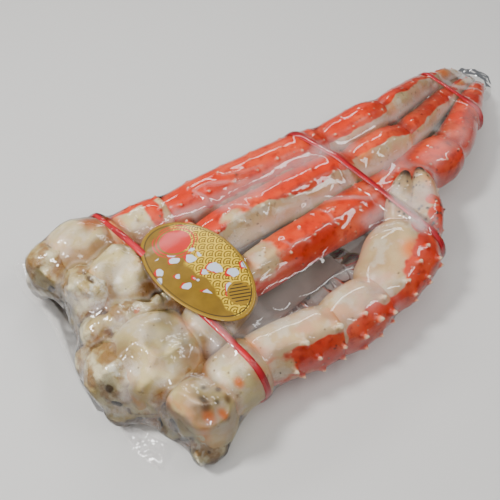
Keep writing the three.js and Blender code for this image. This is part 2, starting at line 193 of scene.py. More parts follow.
@dataclass
class Skin:
    """Points, faces and colour layers of one mesh, before it is handed to Blender."""

    points: Array
    quads: Array
    triangles: Array = field(default_factory=lambda: np.zeros((0, 3), int))
    layers: dict[Paint, Array] = field(default_factory=dict)

    @classmethod
    def empty(cls) -> "Skin":
        """Return a skin with nothing in it, to join others to."""
        return cls(np.zeros((0, 3)), np.zeros((0, 4), int))

    def joined(self, other: "Skin") -> "Skin":
        """Return this skin and another as one, each keeping its colour layers.

        Args:
            other: the skin to add.

        Returns:
            A new skin.
        """
        shift = len(self.points)
        names = set(self.layers) | set(other.layers)
        layers = {
            name: np.concatenate(
                [
                    self.layers.get(name, np.zeros(shift)),
                    other.layers.get(name, np.zeros(len(other.points))),
                ]
            )
            for name in names
        }
        return Skin(
            np.concatenate([self.points, other.points]),
            np.concatenate([self.quads, other.quads + shift]),
            np.concatenate([self.triangles, other.triangles + shift]),
            layers,
        )

    def mesh(self, name: str) -> bpy.types.Mesh:
        """Make a Blender mesh in metres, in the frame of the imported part.

        Args:
            name: the mesh's name.

        Returns:
            The mesh, smooth shaded, with its colour layers as point attributes.
        """
        mesh = bpy.data.meshes.new(name)
        row = (self.points - LAYOUT_CENTRE) * MM
        mesh.vertices.add(len(row))
        mesh.vertices.foreach_set("co", row.ravel())
        corners = np.concatenate([self.quads.ravel(), self.triangles.ravel()])
        sizes = np.concatenate([np.full(len(self.quads), 4), np.full(len(self.triangles), 3)])
        mesh.loops.add(len(corners))
        mesh.loops.foreach_set("vertex_index", corners.astype(np.int32))
        mesh.polygons.add(len(sizes))
        starts = np.concatenate([[0], np.cumsum(sizes)[:-1]])
        mesh.polygons.foreach_set("loop_start", starts.astype(np.int32))
        mesh.polygons.foreach_set("use_smooth", np.ones(len(sizes), bool))
        for layer, values in self.layers.items():
            attribute = mesh.attributes.new(layer.value, "FLOAT", "POINT")
            attribute.data.foreach_set("value", values.astype(np.float32))
        mesh.update(calc_edges=True)
        mesh.validate()
        return mesh


def skin_of(mesh: bpy.types.Mesh) -> Skin:
    """Read a Blender mesh back as a skin in layout millimetres.

    Args:
        mesh: a mesh of quads, or of quads and triangles.

    Returns:
        Its points and faces, with no colour layers.
    """
    points = np.zeros(len(mesh.vertices) * 3)
    mesh.vertices.foreach_get("co", points)
    corners = np.zeros(len(mesh.loops), np.int32)
    mesh.loops.foreach_get("vertex_index", corners)
    sizes = np.zeros(len(mesh.polygons), np.int32)
    mesh.polygons.foreach_get("loop_total", sizes)
    starts = np.cumsum(sizes) - sizes
    quads = corners[starts[sizes == 4][:, None] + np.arange(4)]
    triangles = corners[starts[sizes == 3][:, None] + np.arange(3)]
    return Skin(points.reshape(-1, 3) / MM + LAYOUT_CENTRE, quads.astype(int), triangles.astype(int))


def normals_of(skin: Skin) -> Array:
    """Return the outward direction at each point of a skin.

    Args:
        skin: any skin.

    Returns:
        One unit vector for each point.
    """
    points = skin.points
    total = np.zeros_like(points)
    for faces in (skin.quads, skin.triangles):
        if not len(faces):
            continue
        first, second = points[faces[:, 2]] - points[faces[:, 0]], points[faces[:, -1]] - points[faces[:, 1]]
        normal = np.cross(first, second)
        for column in faces.T:
            for axis in range(3):
                total[:, axis] += np.bincount(column, normal[:, axis], len(points))
    return unit(total)


def edges_of(skin: Skin) -> Array:
    """Return the pairs of neighbouring points along the sides of a skin's faces.

    Args:
        skin: any skin.

    Returns:
        Pairs of point numbers, most of them twice.
    """
    pairs = []
    for faces in (skin.quads, skin.triangles):
        for i in range(faces.shape[1]):
            pairs.append(faces[:, [i, (i + 1) % faces.shape[1]]])
    return np.concatenate(pairs)


def relaxed(values: Array, edges: Array, share: float, rounds: int) -> Array:
    """Pull each point's value towards the mean of its neighbours.

    Args:
        values: one row of numbers for each point.
        edges: the pairs of neighbouring points.
        share: how far towards the mean each round goes, from 0 to 1.
        rounds: how many rounds are made.

    Returns:
        The relaxed values.
    """
    count = len(values)
    both = np.concatenate([edges, edges[:, ::-1]])
    degree = np.maximum(np.bincount(both[:, 0], minlength=count), 1)[:, None]
    for _ in range(rounds):
        columns = [np.bincount(both[:, 0], values[both[:, 1], k], count) for k in range(values.shape[1])]
        values = values + share * (np.stack(columns, 1) / degree - values)
    return values


def grid_faces(rows: int, columns: int, closed: bool = False) -> Array:
    """Return the quads of a grid of points.

    Args:
        rows: how many rows of points there are.
        columns: how many points a row has.
        closed: whether a row's last point joins its first.

    Returns:
        The corner numbers of each quad.
    """
    across = columns if closed else columns - 1
    r, c = np.meshgrid(np.arange(rows - 1), np.arange(across), indexing="ij")
    nxt = (c + 1) % columns
    corners = [r * columns + c, r * columns + nxt, (r + 1) * columns + nxt, (r + 1) * columns + c]
    return np.stack([k.ravel() for k in corners], 1)


def fan(centre: int, ring: Array, turned: bool = False) -> Array:
    """Return the triangles from one point to each side of a closed ring.

    Args:
        centre: the number of the point.
        ring: the numbers of the ring's points in order.
        turned: whether the triangles face the other way.

    Returns:
        The corner numbers of each triangle.
    """
    ahead = np.roll(ring, -1)
    first, second = (ahead, ring) if turned else (ring, ahead)
    return np.stack([np.full(len(ring), centre), first, second], 1)


def remeshed(skin: Skin, voxel: float) -> Skin:
    """Return one closed even skin round everything that a skin holds.

    Args:
        skin: closed shapes that may run through each other.
        voxel: the size of the new faces in millimetres.

    Returns:
        The new skin, with no colour layers.
    """
    holder = bpy.data.objects.new("remesh_work", skin.mesh("remesh_work"))
    bpy.context.scene.collection.objects.link(holder)
    modifier = holder.modifiers.new("even", "REMESH")
    modifier.mode = "VOXEL"
    modifier.voxel_size = voxel * MM
    bpy.context.view_layer.update()
    depsgraph = bpy.context.evaluated_depsgraph_get()
    mesh = bpy.data.meshes.new_from_object(holder.evaluated_get(depsgraph))
    result = skin_of(mesh)
    bpy.data.objects.remove(holder)
    bpy.data.meshes.remove(mesh)
    return result


def tree_of(skin: Skin) -> BVHTree:
    """Return a search tree over a skin, in layout millimetres.

    Args:
        skin: any skin.

    Returns:
        The tree.
    """
    faces = [tuple(int(k) for k in face) for face in skin.quads]
    faces += [tuple(int(k) for k in face) for face in skin.triangles]
    return BVHTree.FromPolygons([Vector(p) for p in skin.points], faces)


def piece(name: str, skin: Skin, material: bpy.types.Material, slot: str, *nodes: str) -> None:
    """Put one finished piece of the section into the scene.

    Args:
        name: the piece's name.
        skin: its shape and colour layers.
        material: its finish.
        slot: a material slot name; not used.
        nodes: the solids that it stands for.
    """
    shown = bpy.data.objects.new(name, skin.mesh(name))
    shown.data.materials.append(material)
    bpy.context.scene.collection.objects.link(shown)
    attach(shown, BODY)
    if nodes:
        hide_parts(*nodes)
    log.info("%s: %d points", name, len(skin.points))


# ---- Shader maths


class Sock:
    """A shader socket that takes part in plain arithmetic on numbers."""

    def __init__(self, tree: "ShaderTree", socket: bpy.types.NodeSocket) -> None:
        """Keep the tree and the socket."""
        self.tree = tree
        self.socket = socket

    def _math(self, operation: str, *others: "Sock | float") -> "Sock":
        """Add one Math node.

        Args:
            operation: the node's operation.
            others: the values after this one.

        Returns:
            The node's output.
        """
        values = dict(enumerate((self, *others)))
        return self.tree.node("ShaderNodeMath", {"operation": operation}, values)

    def __add__(self, other: "Sock | float") -> "Sock":
        """Return the sum."""
        return self._math("ADD", other)

    def __radd__(self, other: float) -> "Sock":
        """Return the sum."""
        return self._math("ADD", other)

    def __sub__(self, other: "Sock | float") -> "Sock":
        """Return the difference."""
        return self._math("SUBTRACT", other)

    def __rsub__(self, other: float) -> "Sock":
        """Return a number less this value."""
        return self.tree.node("ShaderNodeMath", {"operation": "SUBTRACT"}, {0: other, 1: self})

    def __mul__(self, other: "Sock | float") -> "Sock":
        """Return the product."""
        return self._math("MULTIPLY", other)

    def __rmul__(self, other: float) -> "Sock":
        """Return the product."""
        return self._math("MULTIPLY", other)

    def __pow__(self, other: float) -> "Sock":
        """Return this value raised to a power."""
        return self._math("POWER", other)

    def __abs__(self) -> "Sock":
        """Return the value without its sign."""
        return self._math("ABSOLUTE")

    def floor(self) -> "Sock":
        """Return the whole number just below the value."""
        return self._math("FLOOR")

    def bounce(self, size: float) -> "Sock":
        """Return the value folded back and forth between 0 and a size."""
        return self._math("PINGPONG", size)

    def below(self, edge: float, soft: float) -> "Sock":
        """Return 1 below an edge and 0 above it, over a soft width."""
        return self.rise(edge + soft, edge - soft)

    def rise(self, low: float, high: float) -> "Sock":
        """Return 0 at low and 1 at high, held at both ends.

        Args:
            low: the value that gives 0.
            high: the value that gives 1.

        Returns:
            A smooth rise between them.
        """
        settings = {"interpolation_type": "SMOOTHSTEP"}
        if low < high:
            return self.tree.node("ShaderNodeMapRange", settings, {"Value": self, 1: low, 2: high})
        ends = {"Value": self, 1: high, 2: low, 3: 1.0, 4: 0.0}
        return self.tree.node("ShaderNodeMapRange", settings, ends)


class ShaderTree:
    """The nodes of one material."""

    def __init__(self, name: str) -> None:
        """Make an empty material.

        Args:
            name: the material's name.
        """
        self.material = bpy.data.materials.new(name)
        self.material.use_nodes = True
        self.nodes = self.material.node_tree.nodes
        self.links = self.material.node_tree.links
        self.nodes.clear()

    def node(
        self, kind: str, settings: dict | None = None, values: dict | None = None, out: int | str = 0
    ) -> Sock:
        """Add a node.

        Args:
            kind: the node's type.
            settings: its own settings, which are set first.
            values: its sockets' numbers, colours or links, by name or place.
            out: the output to return.

        Returns:
            The chosen output.
        """
        made = self.nodes.new(kind)
        for key, value in (settings or {}).items():
            setattr(made, key, value)
        for key, value in (values or {}).items():
            if isinstance(value, Sock):
                self.links.new(value.socket, made.inputs[key])
            else:
                made.inputs[key].default_value = value
        return Sock(self, made.outputs[out])

    def layer(self, paint: Paint) -> Sock:
        """Return a colour layer of the mesh as a number."""
        return self.node("ShaderNodeAttribute", {"attribute_name": paint.value}, out="Fac")

    def place(self) -> Sock:
        """Return the place in the part, in metres."""
        return self.node("ShaderNodeTexCoord", out="Object")

    def grain(
        self, size: float, detail: float = 3.0, rough: float = 0.55, stretch: Place | None = None
    ) -> Sock:
        """Return uneven values from 0 to 1.

        Args:
            size: the size of one lump in millimetres.
            detail: how many finer layers are added.
            rough: how strong the finer layers are.
            stretch: how much longer lumps are along each axis.

        Returns:
            The values.
        """
        where = self.place()
        if stretch:
            scale = tuple(1 / s for s in stretch)
            settings = {"operation": "MULTIPLY"}
            where = self.node("ShaderNodeVectorMath", settings, {0: where, 1: scale})
        values = {"Vector": where, "Scale": 1 / (size * MM), "Detail": detail, "Roughness": rough}
        return self.node("ShaderNodeTexNoise", {}, values)

    def cells(self, size: float, shift: float = 0.0) -> Sock:
        """Return the distance to the nearest of scattered points.

        Args:
            size: the size of one cell in millimetres.
            shift: how far the points are moved, in millimetres.

        Returns:
            The distance, in cell sizes.
        """
        moved = {0: self.place(), 1: (shift * MM, -shift * MM, 0)}
        where = self.node("ShaderNodeVectorMath", {"operation": "ADD"}, moved)
        return self.node("ShaderNodeTexVoronoi", {}, {"Vector": where, "Scale": 1 / (size * MM)})

    def mix(self, share: "Sock | float", first: "Sock | tuple", second: "Sock | tuple") -> Sock:
        """Mix two colours.

        Args:
            share: 0 for the first colour, 1 for the second.
            first: a colour.
            second: a colour.

        Returns:
            The mixed colour.
        """
        settings = {"data_type": "RGBA", "clamp_factor": True}
        values = {0: share, 6: first, 7: second}
        return self.node("ShaderNodeMix", settings, values, out=2)

    def bump(self, height: Sock, depth: float, strength: float = 1.0, under: Sock | None = None) -> Sock:
        """Return a normal for fine relief.

        Args:
            height: values from 0 to 1.
            depth: how deep the relief is in millimetres.
            strength: how much of it shows.
            under: a normal that it lies over.

        Returns:
            The normal.
        """
        values = {"Height": height, "Distance": depth * MM, "Strength": strength}
        if under is not None:
            values["Normal"] = under
        return self.node("ShaderNodeBump", {}, values)

    def finish(self, shader: Sock) -> bpy.types.Material:
        """Connect the surface and return the material.

        Args:
            shader: the shader of the whole surface.

        Returns:
            The material.
        """
        out = self.nodes.new("ShaderNodeOutputMaterial")
        self.links.new(shader.socket, out.inputs["Surface"])
        return self.material


def tint(code: str) -> tuple[float, float, float, float]:
    """Return a colour as Blender keeps it.

    Args:
        code: the colour as six hexadecimal digits.

    Returns:
        Its linear red, green and blue, and 1.
    """
    parts = [int(code[i : i + 2], 16) / 255 for i in (0, 2, 4)]
    linear = [c / 12.92 if c <= 0.04045 else ((c + 0.055) / 1.055) ** 2.4 for c in parts]
    return (*linear, 1.0)


# ---- Finishes


@dataclass(frozen=True)
class ShellFinish:
    """Wet crab shell: cream below, red-orange above, with orange joints and dark-tipped spines."""

    name: str = "shell"
    cream: str = "DABF90"
    tan: str = "B8834A"
    red: str = "E23A04"
    deep_red: str = "B82203"
    orange: str = "F08022"
    pale_red: str = "EC6233"
    white: str = "EAE2CE"
    blush: str = "DFA084"
    tip: str = "F3DDB8"
    speck: str = "2A1A12"
    shade: str = "8A6A4C"
    soak: float = 0.12

    def make(self) -> bpy.types.Material:
        """Make the material.

        Returns:
            The material.
        """
        t = ShaderTree(self.name)
        broad, middling, fine = t.grain(22), t.grain(6, 4), t.grain(1.6, 3)
        red = (t.layer(Paint.RED) + 0.5 * (middling - 0.5)).rise(0.36, 0.62)
        cream = t.mix(broad.rise(0.42, 0.7) * 0.55, tint(self.cream), tint(self.tan))
        cream = t.mix(t.grain(11, 3).rise(0.46, 0.64) * 0.6, cream, tint(self.white))
        cream = t.mix(t.grain(27, 2).rise(0.52, 0.66) * 0.5, cream, tint(self.blush))
        cream = t.mix((t.cells(13) + 0.5 * fine).below(0.36, 0.06) * 0.45, cream, tint(self.shade))
        pores = (t.cells(7.5, 3.0) + 0.12 * fine).below(0.15, 0.03)
        cream = t.mix(pores * 0.7, cream, tint(self.shade))
        cream = t.mix(t.layer(Paint.ORANGE), cream, tint(self.orange))
        shell = t.mix(broad.rise(0.4, 0.7), tint(self.red), tint(self.pale_red))
        shell = t.mix(middling.rise(0.5, 0.72) * 0.7, shell, tint(self.deep_red))
        colour = t.mix(red, cream, shell)
        colour = t.mix(t.layer(Paint.SHADE) * 0.8, colour, tint(self.shade))
        colour = t.mix(t.layer(Paint.TIP), colour, tint(self.tip))
        freckles = (t.cells(9.0) + 0.15 * fine).below(0.14, 0.03) * red * 0.5
        colour = t.mix(freckles, colour, tint(self.tip))
        colour = t.mix(t.layer(Paint.SPECK), colour, tint(self.speck))
        rough = 0.26 + 0.3 * fine
        relief = t.bump(t.grain(5.0, 4, 0.6), 0.9, 0.45)
        relief = t.bump(t.grain(0.9, 2), 0.15, 0.5, relief)
        values = {
            "Base Color": colour,
            "Roughness": rough,
            "Normal": relief,
            "Subsurface Weight": self.soak,
            "Subsurface Radius": (0.004, 0.0016, 0.001),
            "Subsurface Scale": 1.0,
            "Coat Weight": 0.2,
            "Coat Roughness": 0.2,
        }
        return t.finish(t.node("ShaderNodeBsdfPrincipled", {}, values))


@dataclass(frozen=True)
class MeatFinish:
    """Frozen shoulder meat and pale inner shell, wet and a little see-through, with painted shade in its
    folds, recesses, hollows and lower parts.
    """

    name: str = "meat"
    ivory: str = "E9DEB8"
    cloudy: str = "CDB67C"
    tan: str = "A2763A"
    # Painted shade colour for the folds, recesses and lower parts.
    fold: str = "4E2E0B"
    frost: str = "F6F2E2"
    orange: str = "E0702A"
    # Painted shade colour, near-black, for the hollows.
    brown: str = "241206"

    def make(self) -> bpy.types.Material:
        """Make the material.

        Returns:
            The material.
        """
        t = ShaderTree(self.name)
        broad, middling, fine = t.grain(18), t.grain(5, 4), t.grain(1.2, 3)
        colour = t.mix(broad.rise(0.4, 0.6), tint(self.ivory), tint(self.cloudy))
        colour = t.mix(t.grain(13, 4).rise(0.46, 0.6) * 0.85, colour, tint(self.tan))
        # Painted shade: the shade layer darkens the folds, recesses, hollows and lower parts.
        fold = (t.layer(Paint.SHADE) + 0.6 * (middling - 0.5)).rise(0.2, 0.8)
        colour = t.mix(fold * 0.9, colour, tint(self.fold))
        colour = t.mix(t.layer(Paint.TIP) * middling.rise(0.48, 0.62) * 0.8, colour, tint(self.frost))
        orange = (t.layer(Paint.ORANGE) + 0.6 * (middling - 0.5)).rise(0.35, 0.8)
        colour = t.mix(orange * 0.85, colour, tint(self.orange))
        # Painted shade: the hollows are filled near-black.
        spots = (t.layer(Paint.SPECK) + 0.7 * (middling - 0.5)).rise(0.4, 0.7)
        colour = t.mix(spots, colour, tint(self.brown))
        relief = t.bump(t.grain(4.0, 5, 0.65), 2.0, 0.8)
        relief = t.bump(t.grain(1.0, 2), 0.3, 0.6, relief)
        values = {
            "Base Color": colour,
            "Roughness": 0.2 + 0.3 * fine,
            "Normal": relief,
            "Subsurface Weight": 0.12,
            "Subsurface Radius": (0.003, 0.002, 0.001),
            "Subsurface Scale": 1.0,
            "Coat Weight": 0.5,
            "Coat Roughness": 0.08,
        }
        return t.finish(t.node("ShaderNodeBsdfPrincipled", {}, values))


@dataclass(frozen=True)
class BandFinish:
    """A flat red plastic band."""

    name: str = "band"
    red: str = "D8142A"
    dark: str = "9C0A1A"

    def make(self) -> bpy.types.Material:
        """Make the material.

        Returns:
            The material.
        """
        t = ShaderTree(self.name)
        streaks = t.grain(3, 3, 0.6, (1, 8, 8))
        colour = t.mix(streaks.rise(0.4, 0.7), tint(self.red), tint(self.dark))
        values = {
            "Base Color": colour,
            "Roughness": 0.3 + 0.25 * streaks,
            "Normal": t.bump(streaks, 0.2, 0.5),
            "Coat Weight": 0.3,
        }
        return t.finish(t.node("ShaderNodeBsdfPrincipled", {}, values))


@dataclass(frozen=True)
class LabelFinish:
    """Glossy gold paper with a dark border line, common waves, discs and loose spots."""

    name: str = "label"
    gold: str = "725410"
    pale_gold: str = "A47E1C"
    yellow: str = "F2C92E"
    red: str = "DA1E10"
    silver: str = "DCE6F2"
    line: str = "3A2C1C"
    middle: tuple[float, float] = (-149.75, 2.2)
    long: float = 98.0
    short: float = 57.0

    def make(self) -> bpy.types.Material:
        """Make the material, its pattern laid out in millimetres from the label's middle.

        Returns:
            The material.
        """
        t = ShaderTree(self.name)
        across = (t.node("ShaderNodeSeparateXYZ", {}, {0: t.place()}) - self.middle[0] * MM) * (1 / MM)
        along = (t.node("ShaderNodeSeparateXYZ", {}, {0: t.place()}, 1) - self.middle[1] * MM) * (1 / MM)
        reach = ((across * (2 / self.short)) ** 2.0 + (along * (2 / self.long)) ** 2.0) ** 0.5
        colour = t.mix(t.grain(9, 3), tint(self.gold), tint(self.pale_gold))
        swirl = t.grain(16, 1)
        sea = (0.12 * across - 0.03 * along + 5.0 * (swirl - 0.5)).rise(-0.3, 0.1)
        arcs = self._waves(across, along)
        colour = t.mix(sea, colour, tint(self.yellow))
        colour = t.mix(sea * arcs, colour, tint(self.gold))
        sun = self._away(across, along, 3.0, 26.0)
        colour = t.mix(sun.below(11.0, 0.2), colour, tint(self.red))
        rays = sun.bounce(1.2).rise(0.6, 0.8) * sun.rise(11.9, 12.1) * (sun + 9.0 * swirl).below(20.0, 0.4)
        colour = t.mix(rays, colour, tint(self.red))
        for shade, shift, size in ((self.red, 0.8, 0.38), (self.silver, 0.0, 0.36)):
            spots = (t.cells(10.5, shift) + 0.5 * (t.grain(6, 1) - 0.5)).below(size, 0.01)
            belt = abs(across * 0.8 + along * 0.6 + 3.0).below(17.0, 0.3) * abs(along + 5.0).below(27.0, 0.3)
            colour = t.mix(spots * belt * sun.rise(13.0, 13.4), colour, tint(shade))
        field = self._away(across, along, 7.0, -35.0)
        colour = t.mix(field.below(8.5, 0.2), colour, tint(self.pale_gold))
        bars = (along * 0.9 + across * 0.5 + 60.0).bounce(1.2).below(0.42, 0.1) * field.below(7.0, 0.1)
        colour = t.mix(bars, colour, tint(self.line))
        colour = t.mix(abs(reach - 0.925).below(0.008, 0.004), colour, tint(self.line))
        colour = t.mix(reach.rise(0.94, 0.95), colour, tint(self.pale_gold))
        shine = t.grain(14, 3)
        values = {
            "Base Color": colour,
            "Metallic": 0.2,
            "Roughness": 0.3 + 0.2 * shine,
            "Normal": t.bump(shine, 0.8, 0.35),
            "Coat Weight": 0.25,
            "Coat Roughness": 0.1,
        }
        return t.finish(t.node("ShaderNodeBsdfPrincipled", {}, values))

    def _away(self, across: Sock, along: Sock, x: float, y: float) -> Sock:
        """Return the distance from a place on the label, in millimetres."""
        return ((across - x) ** 2.0 + (along - y) ** 2.0) ** 0.5

    def _waves(self, across: Sock, along: Sock) -> Sock:
        """Return the arcs of a common wave pattern.

        Args:
            across: the place across the label in millimetres.
            along: the place along it.

        Returns:
            1 on an arc and 0 beside it.
        """
        row = (along * (1 / 4.2)).floor()
        odd = row - 2.0 * (row * 0.5).floor()
        x = (across + odd * 4.2) * (1 / 8.4)
        x = (x - x.floor() - 0.5) * 8.4
        y = along - row * 4.2
        return self._away(x, y, 0.0, -0.4).bounce(1.0).rise(0.5, 0.7)


@dataclass(frozen=True)
class CardFinish:
    """Plain grey card."""

    name: str = "card"
    grey: str = "8F8883"
    light: str = "A9A39C"

    def make(self) -> bpy.types.Material:
        """Make the material.

        Returns:
            The material.
        """
        t = ShaderTree(self.name)
        fibres = t.grain(1.5, 4, 0.6, (3, 1, 1))
        values = {
            "Base Color": t.mix(t.grain(18), tint(self.grey), tint(self.light)),
            "Roughness": 0.45 + 0.25 * fibres,
            "Normal": t.bump(fibres, 0.15, 0.4),
        }
        return t.finish(t.node("ShaderNodeBsdfPrincipled", {}, values))


@dataclass(frozen=True)
class FilmFinish:
    """Clear glossy vacuum film, milky where it stands off the shell, with milky painted highlight and sheen
    in places, and brown painted shade where it spans the shoulder's recesses.
    """

    name: str = "film"
    milk: str = "F4E9E4"
    # Brown painted shade for the shoulder's recesses.
    recess_shade: str = "7E4A10"
    milky: float = 0.38
    gloss: float = 0.035

    def make(self) -> bpy.types.Material:
        """Make the material.

        Returns:
            The material.
        """
        t = ShaderTree(self.name)
        fine = t.grain(1.8, 3)
        crinkle = t.grain(7.0, 2, 0.35) * t.layer(Paint.SHADE)
        ripples = t.bump(t.grain(16, 2, 0.4), 0.4, 0.12)
        ripples = t.bump(crinkle, 2.0, 0.8, ripples)
        bubbles = (t.cells(2.6) + 0.3 * fine).below(0.28, 0.06)
        uneven = 0.65 + 0.7 * (t.grain(12, 4) - 0.5)
        # The haze layer holds milky film together with painted sheen and highlight.
        cloud = self.milky * t.layer(Paint.HAZE) * uneven * (1.0 - 0.5 * bubbles)
        # Painted shade: the orange layer turns the milk brown over the shoulder's recesses.
        milk_and_recess_shade = t.mix(t.layer(Paint.ORANGE), tint(self.milk), tint(self.recess_shade))
        values = {"Base Color": milk_and_recess_shade, "Roughness": 0.35, "Normal": ripples}
        milk = t.node("ShaderNodeBsdfPrincipled", {}, values)
        glass = t.node("ShaderNodeBsdfTransparent", {}, {"Color": (1, 1, 1, 1)})
        body = t.node("ShaderNodeMixShader", {}, {0: cloud, 1: glass, 2: milk})
        values = {"Color": (1, 1, 1, 1), "Roughness": self.gloss, "Normal": ripples}
        mirror = t.node("ShaderNodeBsdfGlossy", {}, values)
        edge = t.node("ShaderNodeFresnel", {}, {"IOR": 1.42})
        return t.finish(t.node("ShaderNodeMixShader", {}, {0: edge, 1: body, 2: mirror}))


@dataclass(frozen=True)
class FloorFinish:
    """A plain pale floor."""

    name: str = "floor"
    pale: str = "DAD8D4"

    def make(self) -> bpy.types.Material:
        """Make the material.

        Returns:
            The material.
        """
        t = ShaderTree(self.name)
        values = {"Base Color": tint(self.pale), "Roughness": 0.6}
        return t.finish(t.node("ShaderNodeBsdfPrincipled", {}, values))


# ---- Limb pieces


@dataclass(frozen=True)
class SpineRow:
    """A row of spines along a limb piece."""

    angle: float
    count: int
    start: float
    stop: float
    height: float
    radius: float


@dataclass(frozen=True)
class Form:
    """How a kind of limb piece is shaped along and round its axis."""

    swell: tuple[tuple[float, float], ...]
    blunt: float
    reach: float
    bow: float = 0.0
    ridge: float = 0.0
    collar: float = 0.0
    lumps: float = 0.8
    crest: float = 0.0
    sharp: float = 1.0
    rows: tuple[SpineRow, ...] = ()


@dataclass(frozen=True)
class Spine:
    """One spine, by its place on its piece."""

    share: float
    angle: float
    height: float
    radius: float
    black: float = 0.0


@dataclass(frozen=True)
class Patch:
    """A patch of colour or a dent on a limb piece."""

    share: float
    angle: float
    along: float
    around: float
    paint: Paint | None
    strength: float = 1.0
    depth: float = 0.0


LEG_FORMS = {
    "coxa": Form(((0, 0.86), (0.5, 1), (1, 0.86)), 3.8, 2, lumps=2.4, collar=0.8, crest=3.4),
    "ischium": Form(
        ((0, 0.9), (0.45, 0.94), (1, 1)), 4, 7, lumps=1.1, collar=1.0,
        rows=(SpineRow(110, 2, 0.45, 0.85, 2.6, 2.3), SpineRow(55, 2, 0.5, 0.88, 2.4, 2.1)),
    ),
    "merus": Form(
        ((0, 0.86), (0.3, 0.92), (0.72, 1), (0.92, 1.02), (1, 0.96)), 7, 6, 3,
        ridge=0.9, collar=0.5, sharp=0.6,
        rows=(
            SpineRow(122, 7, 0.1, 0.94, 3, 2.8),
            SpineRow(88, 5, 0.16, 0.9, 2.6, 2.5),
            SpineRow(48, 5, 0.2, 0.93, 2.6, 2.5),
            SpineRow(168, 3, 0.3, 0.9, 2.2, 2.2),
        ),
    ),
    "carpus": Form(
        ((0, 0.88), (0.35, 1), (0.7, 1.02), (1, 0.92)), 5, 8, 2, ridge=0.7, collar=0.5, sharp=0.5,
        rows=(
            SpineRow(120, 4, 0.2, 0.88, 2.8, 2.6),
            SpineRow(82, 4, 0.16, 0.86, 2.6, 2.4),
            SpineRow(42, 3, 0.25, 0.85, 2.4, 2.3),
        ),
    ),
    "propodus": Form(
        ((0, 0.98), (0.2, 1.06), (0.6, 0.92), (1, 0.74)), 6, 7, 2, ridge=0.5, collar=0.4, sharp=0.5,
        rows=(
            SpineRow(128, 6, 0.1, 0.93, 2, 1.8),
            SpineRow(88, 5, 0.14, 0.9, 2.2, 1.9),
            SpineRow(45, 5, 0.12, 0.92, 2, 1.8),
        ),
    ),
    "dactylus": Form(
        ((0, 0.95), (0.25, 0.9), (0.6, 0.62), (0.85, 0.36), (1, 0.2)), 3, 5, 3, lumps=0.4,
        rows=(SpineRow(120, 3, 0.15, 0.6, 1.4, 1.3), SpineRow(60, 3, 0.15, 0.6, 1.4, 1.3)),
    ),
}

CLAW_FORMS = {
    "coxa": LEG_FORMS["coxa"],
    "ischium": Form(((0, 0.9), (0.45, 0.94), (1, 1)), 4, 7, lumps=1.2, collar=1.0),
    "merus": Form(
        ((0, 0.9), (0.5, 0.97), (0.85, 1.02), (1, 0.98)), 6, 8, 1, ridge=0.8, collar=0.6,
        rows=(
            SpineRow(118, 2, 0.55, 0.9, 4.4, 3.6),
            SpineRow(158, 3, 0.35, 0.9, 4.4, 3.4),
            SpineRow(194, 3, 0.45, 0.92, 3.6, 3.2),
        ),
    ),
    "carpus": Form(
        ((0, 0.9), (0.5, 1.01), (1, 0.95)), 4.8, 9, collar=0.6,
        rows=(
            SpineRow(112, 2, 0.45, 0.82, 4.4, 3.4),
            SpineRow(148, 3, 0.3, 0.86, 4.6, 3.5),
            SpineRow(185, 3, 0.3, 0.86, 3.8, 3.2),
        ),
    ),
    "palm": Form(
        ((0, 0.68), (0.3, 0.88), (0.65, 1), (1, 0.9)), 4, 9, 1,
        rows=(
            SpineRow(122, 4, 0.3, 0.93, 3.4, 2.9),
            SpineRow(150, 4, 0.25, 0.92, 3.8, 3.1),
            SpineRow(178, 4, 0.25, 0.9, 3.4, 2.9),
        ),
    ),
    "finger": Form(
        ((0, 1), (0.35, 0.98), (0.7, 0.78), (1, 0.5)), 3, 7, 3.5, lumps=1.2,
        rows=(SpineRow(110, 3, 0.2, 0.7, 1.8, 1.7), SpineRow(165, 3, 0.15, 0.65, 2, 1.8)),
    ),
}


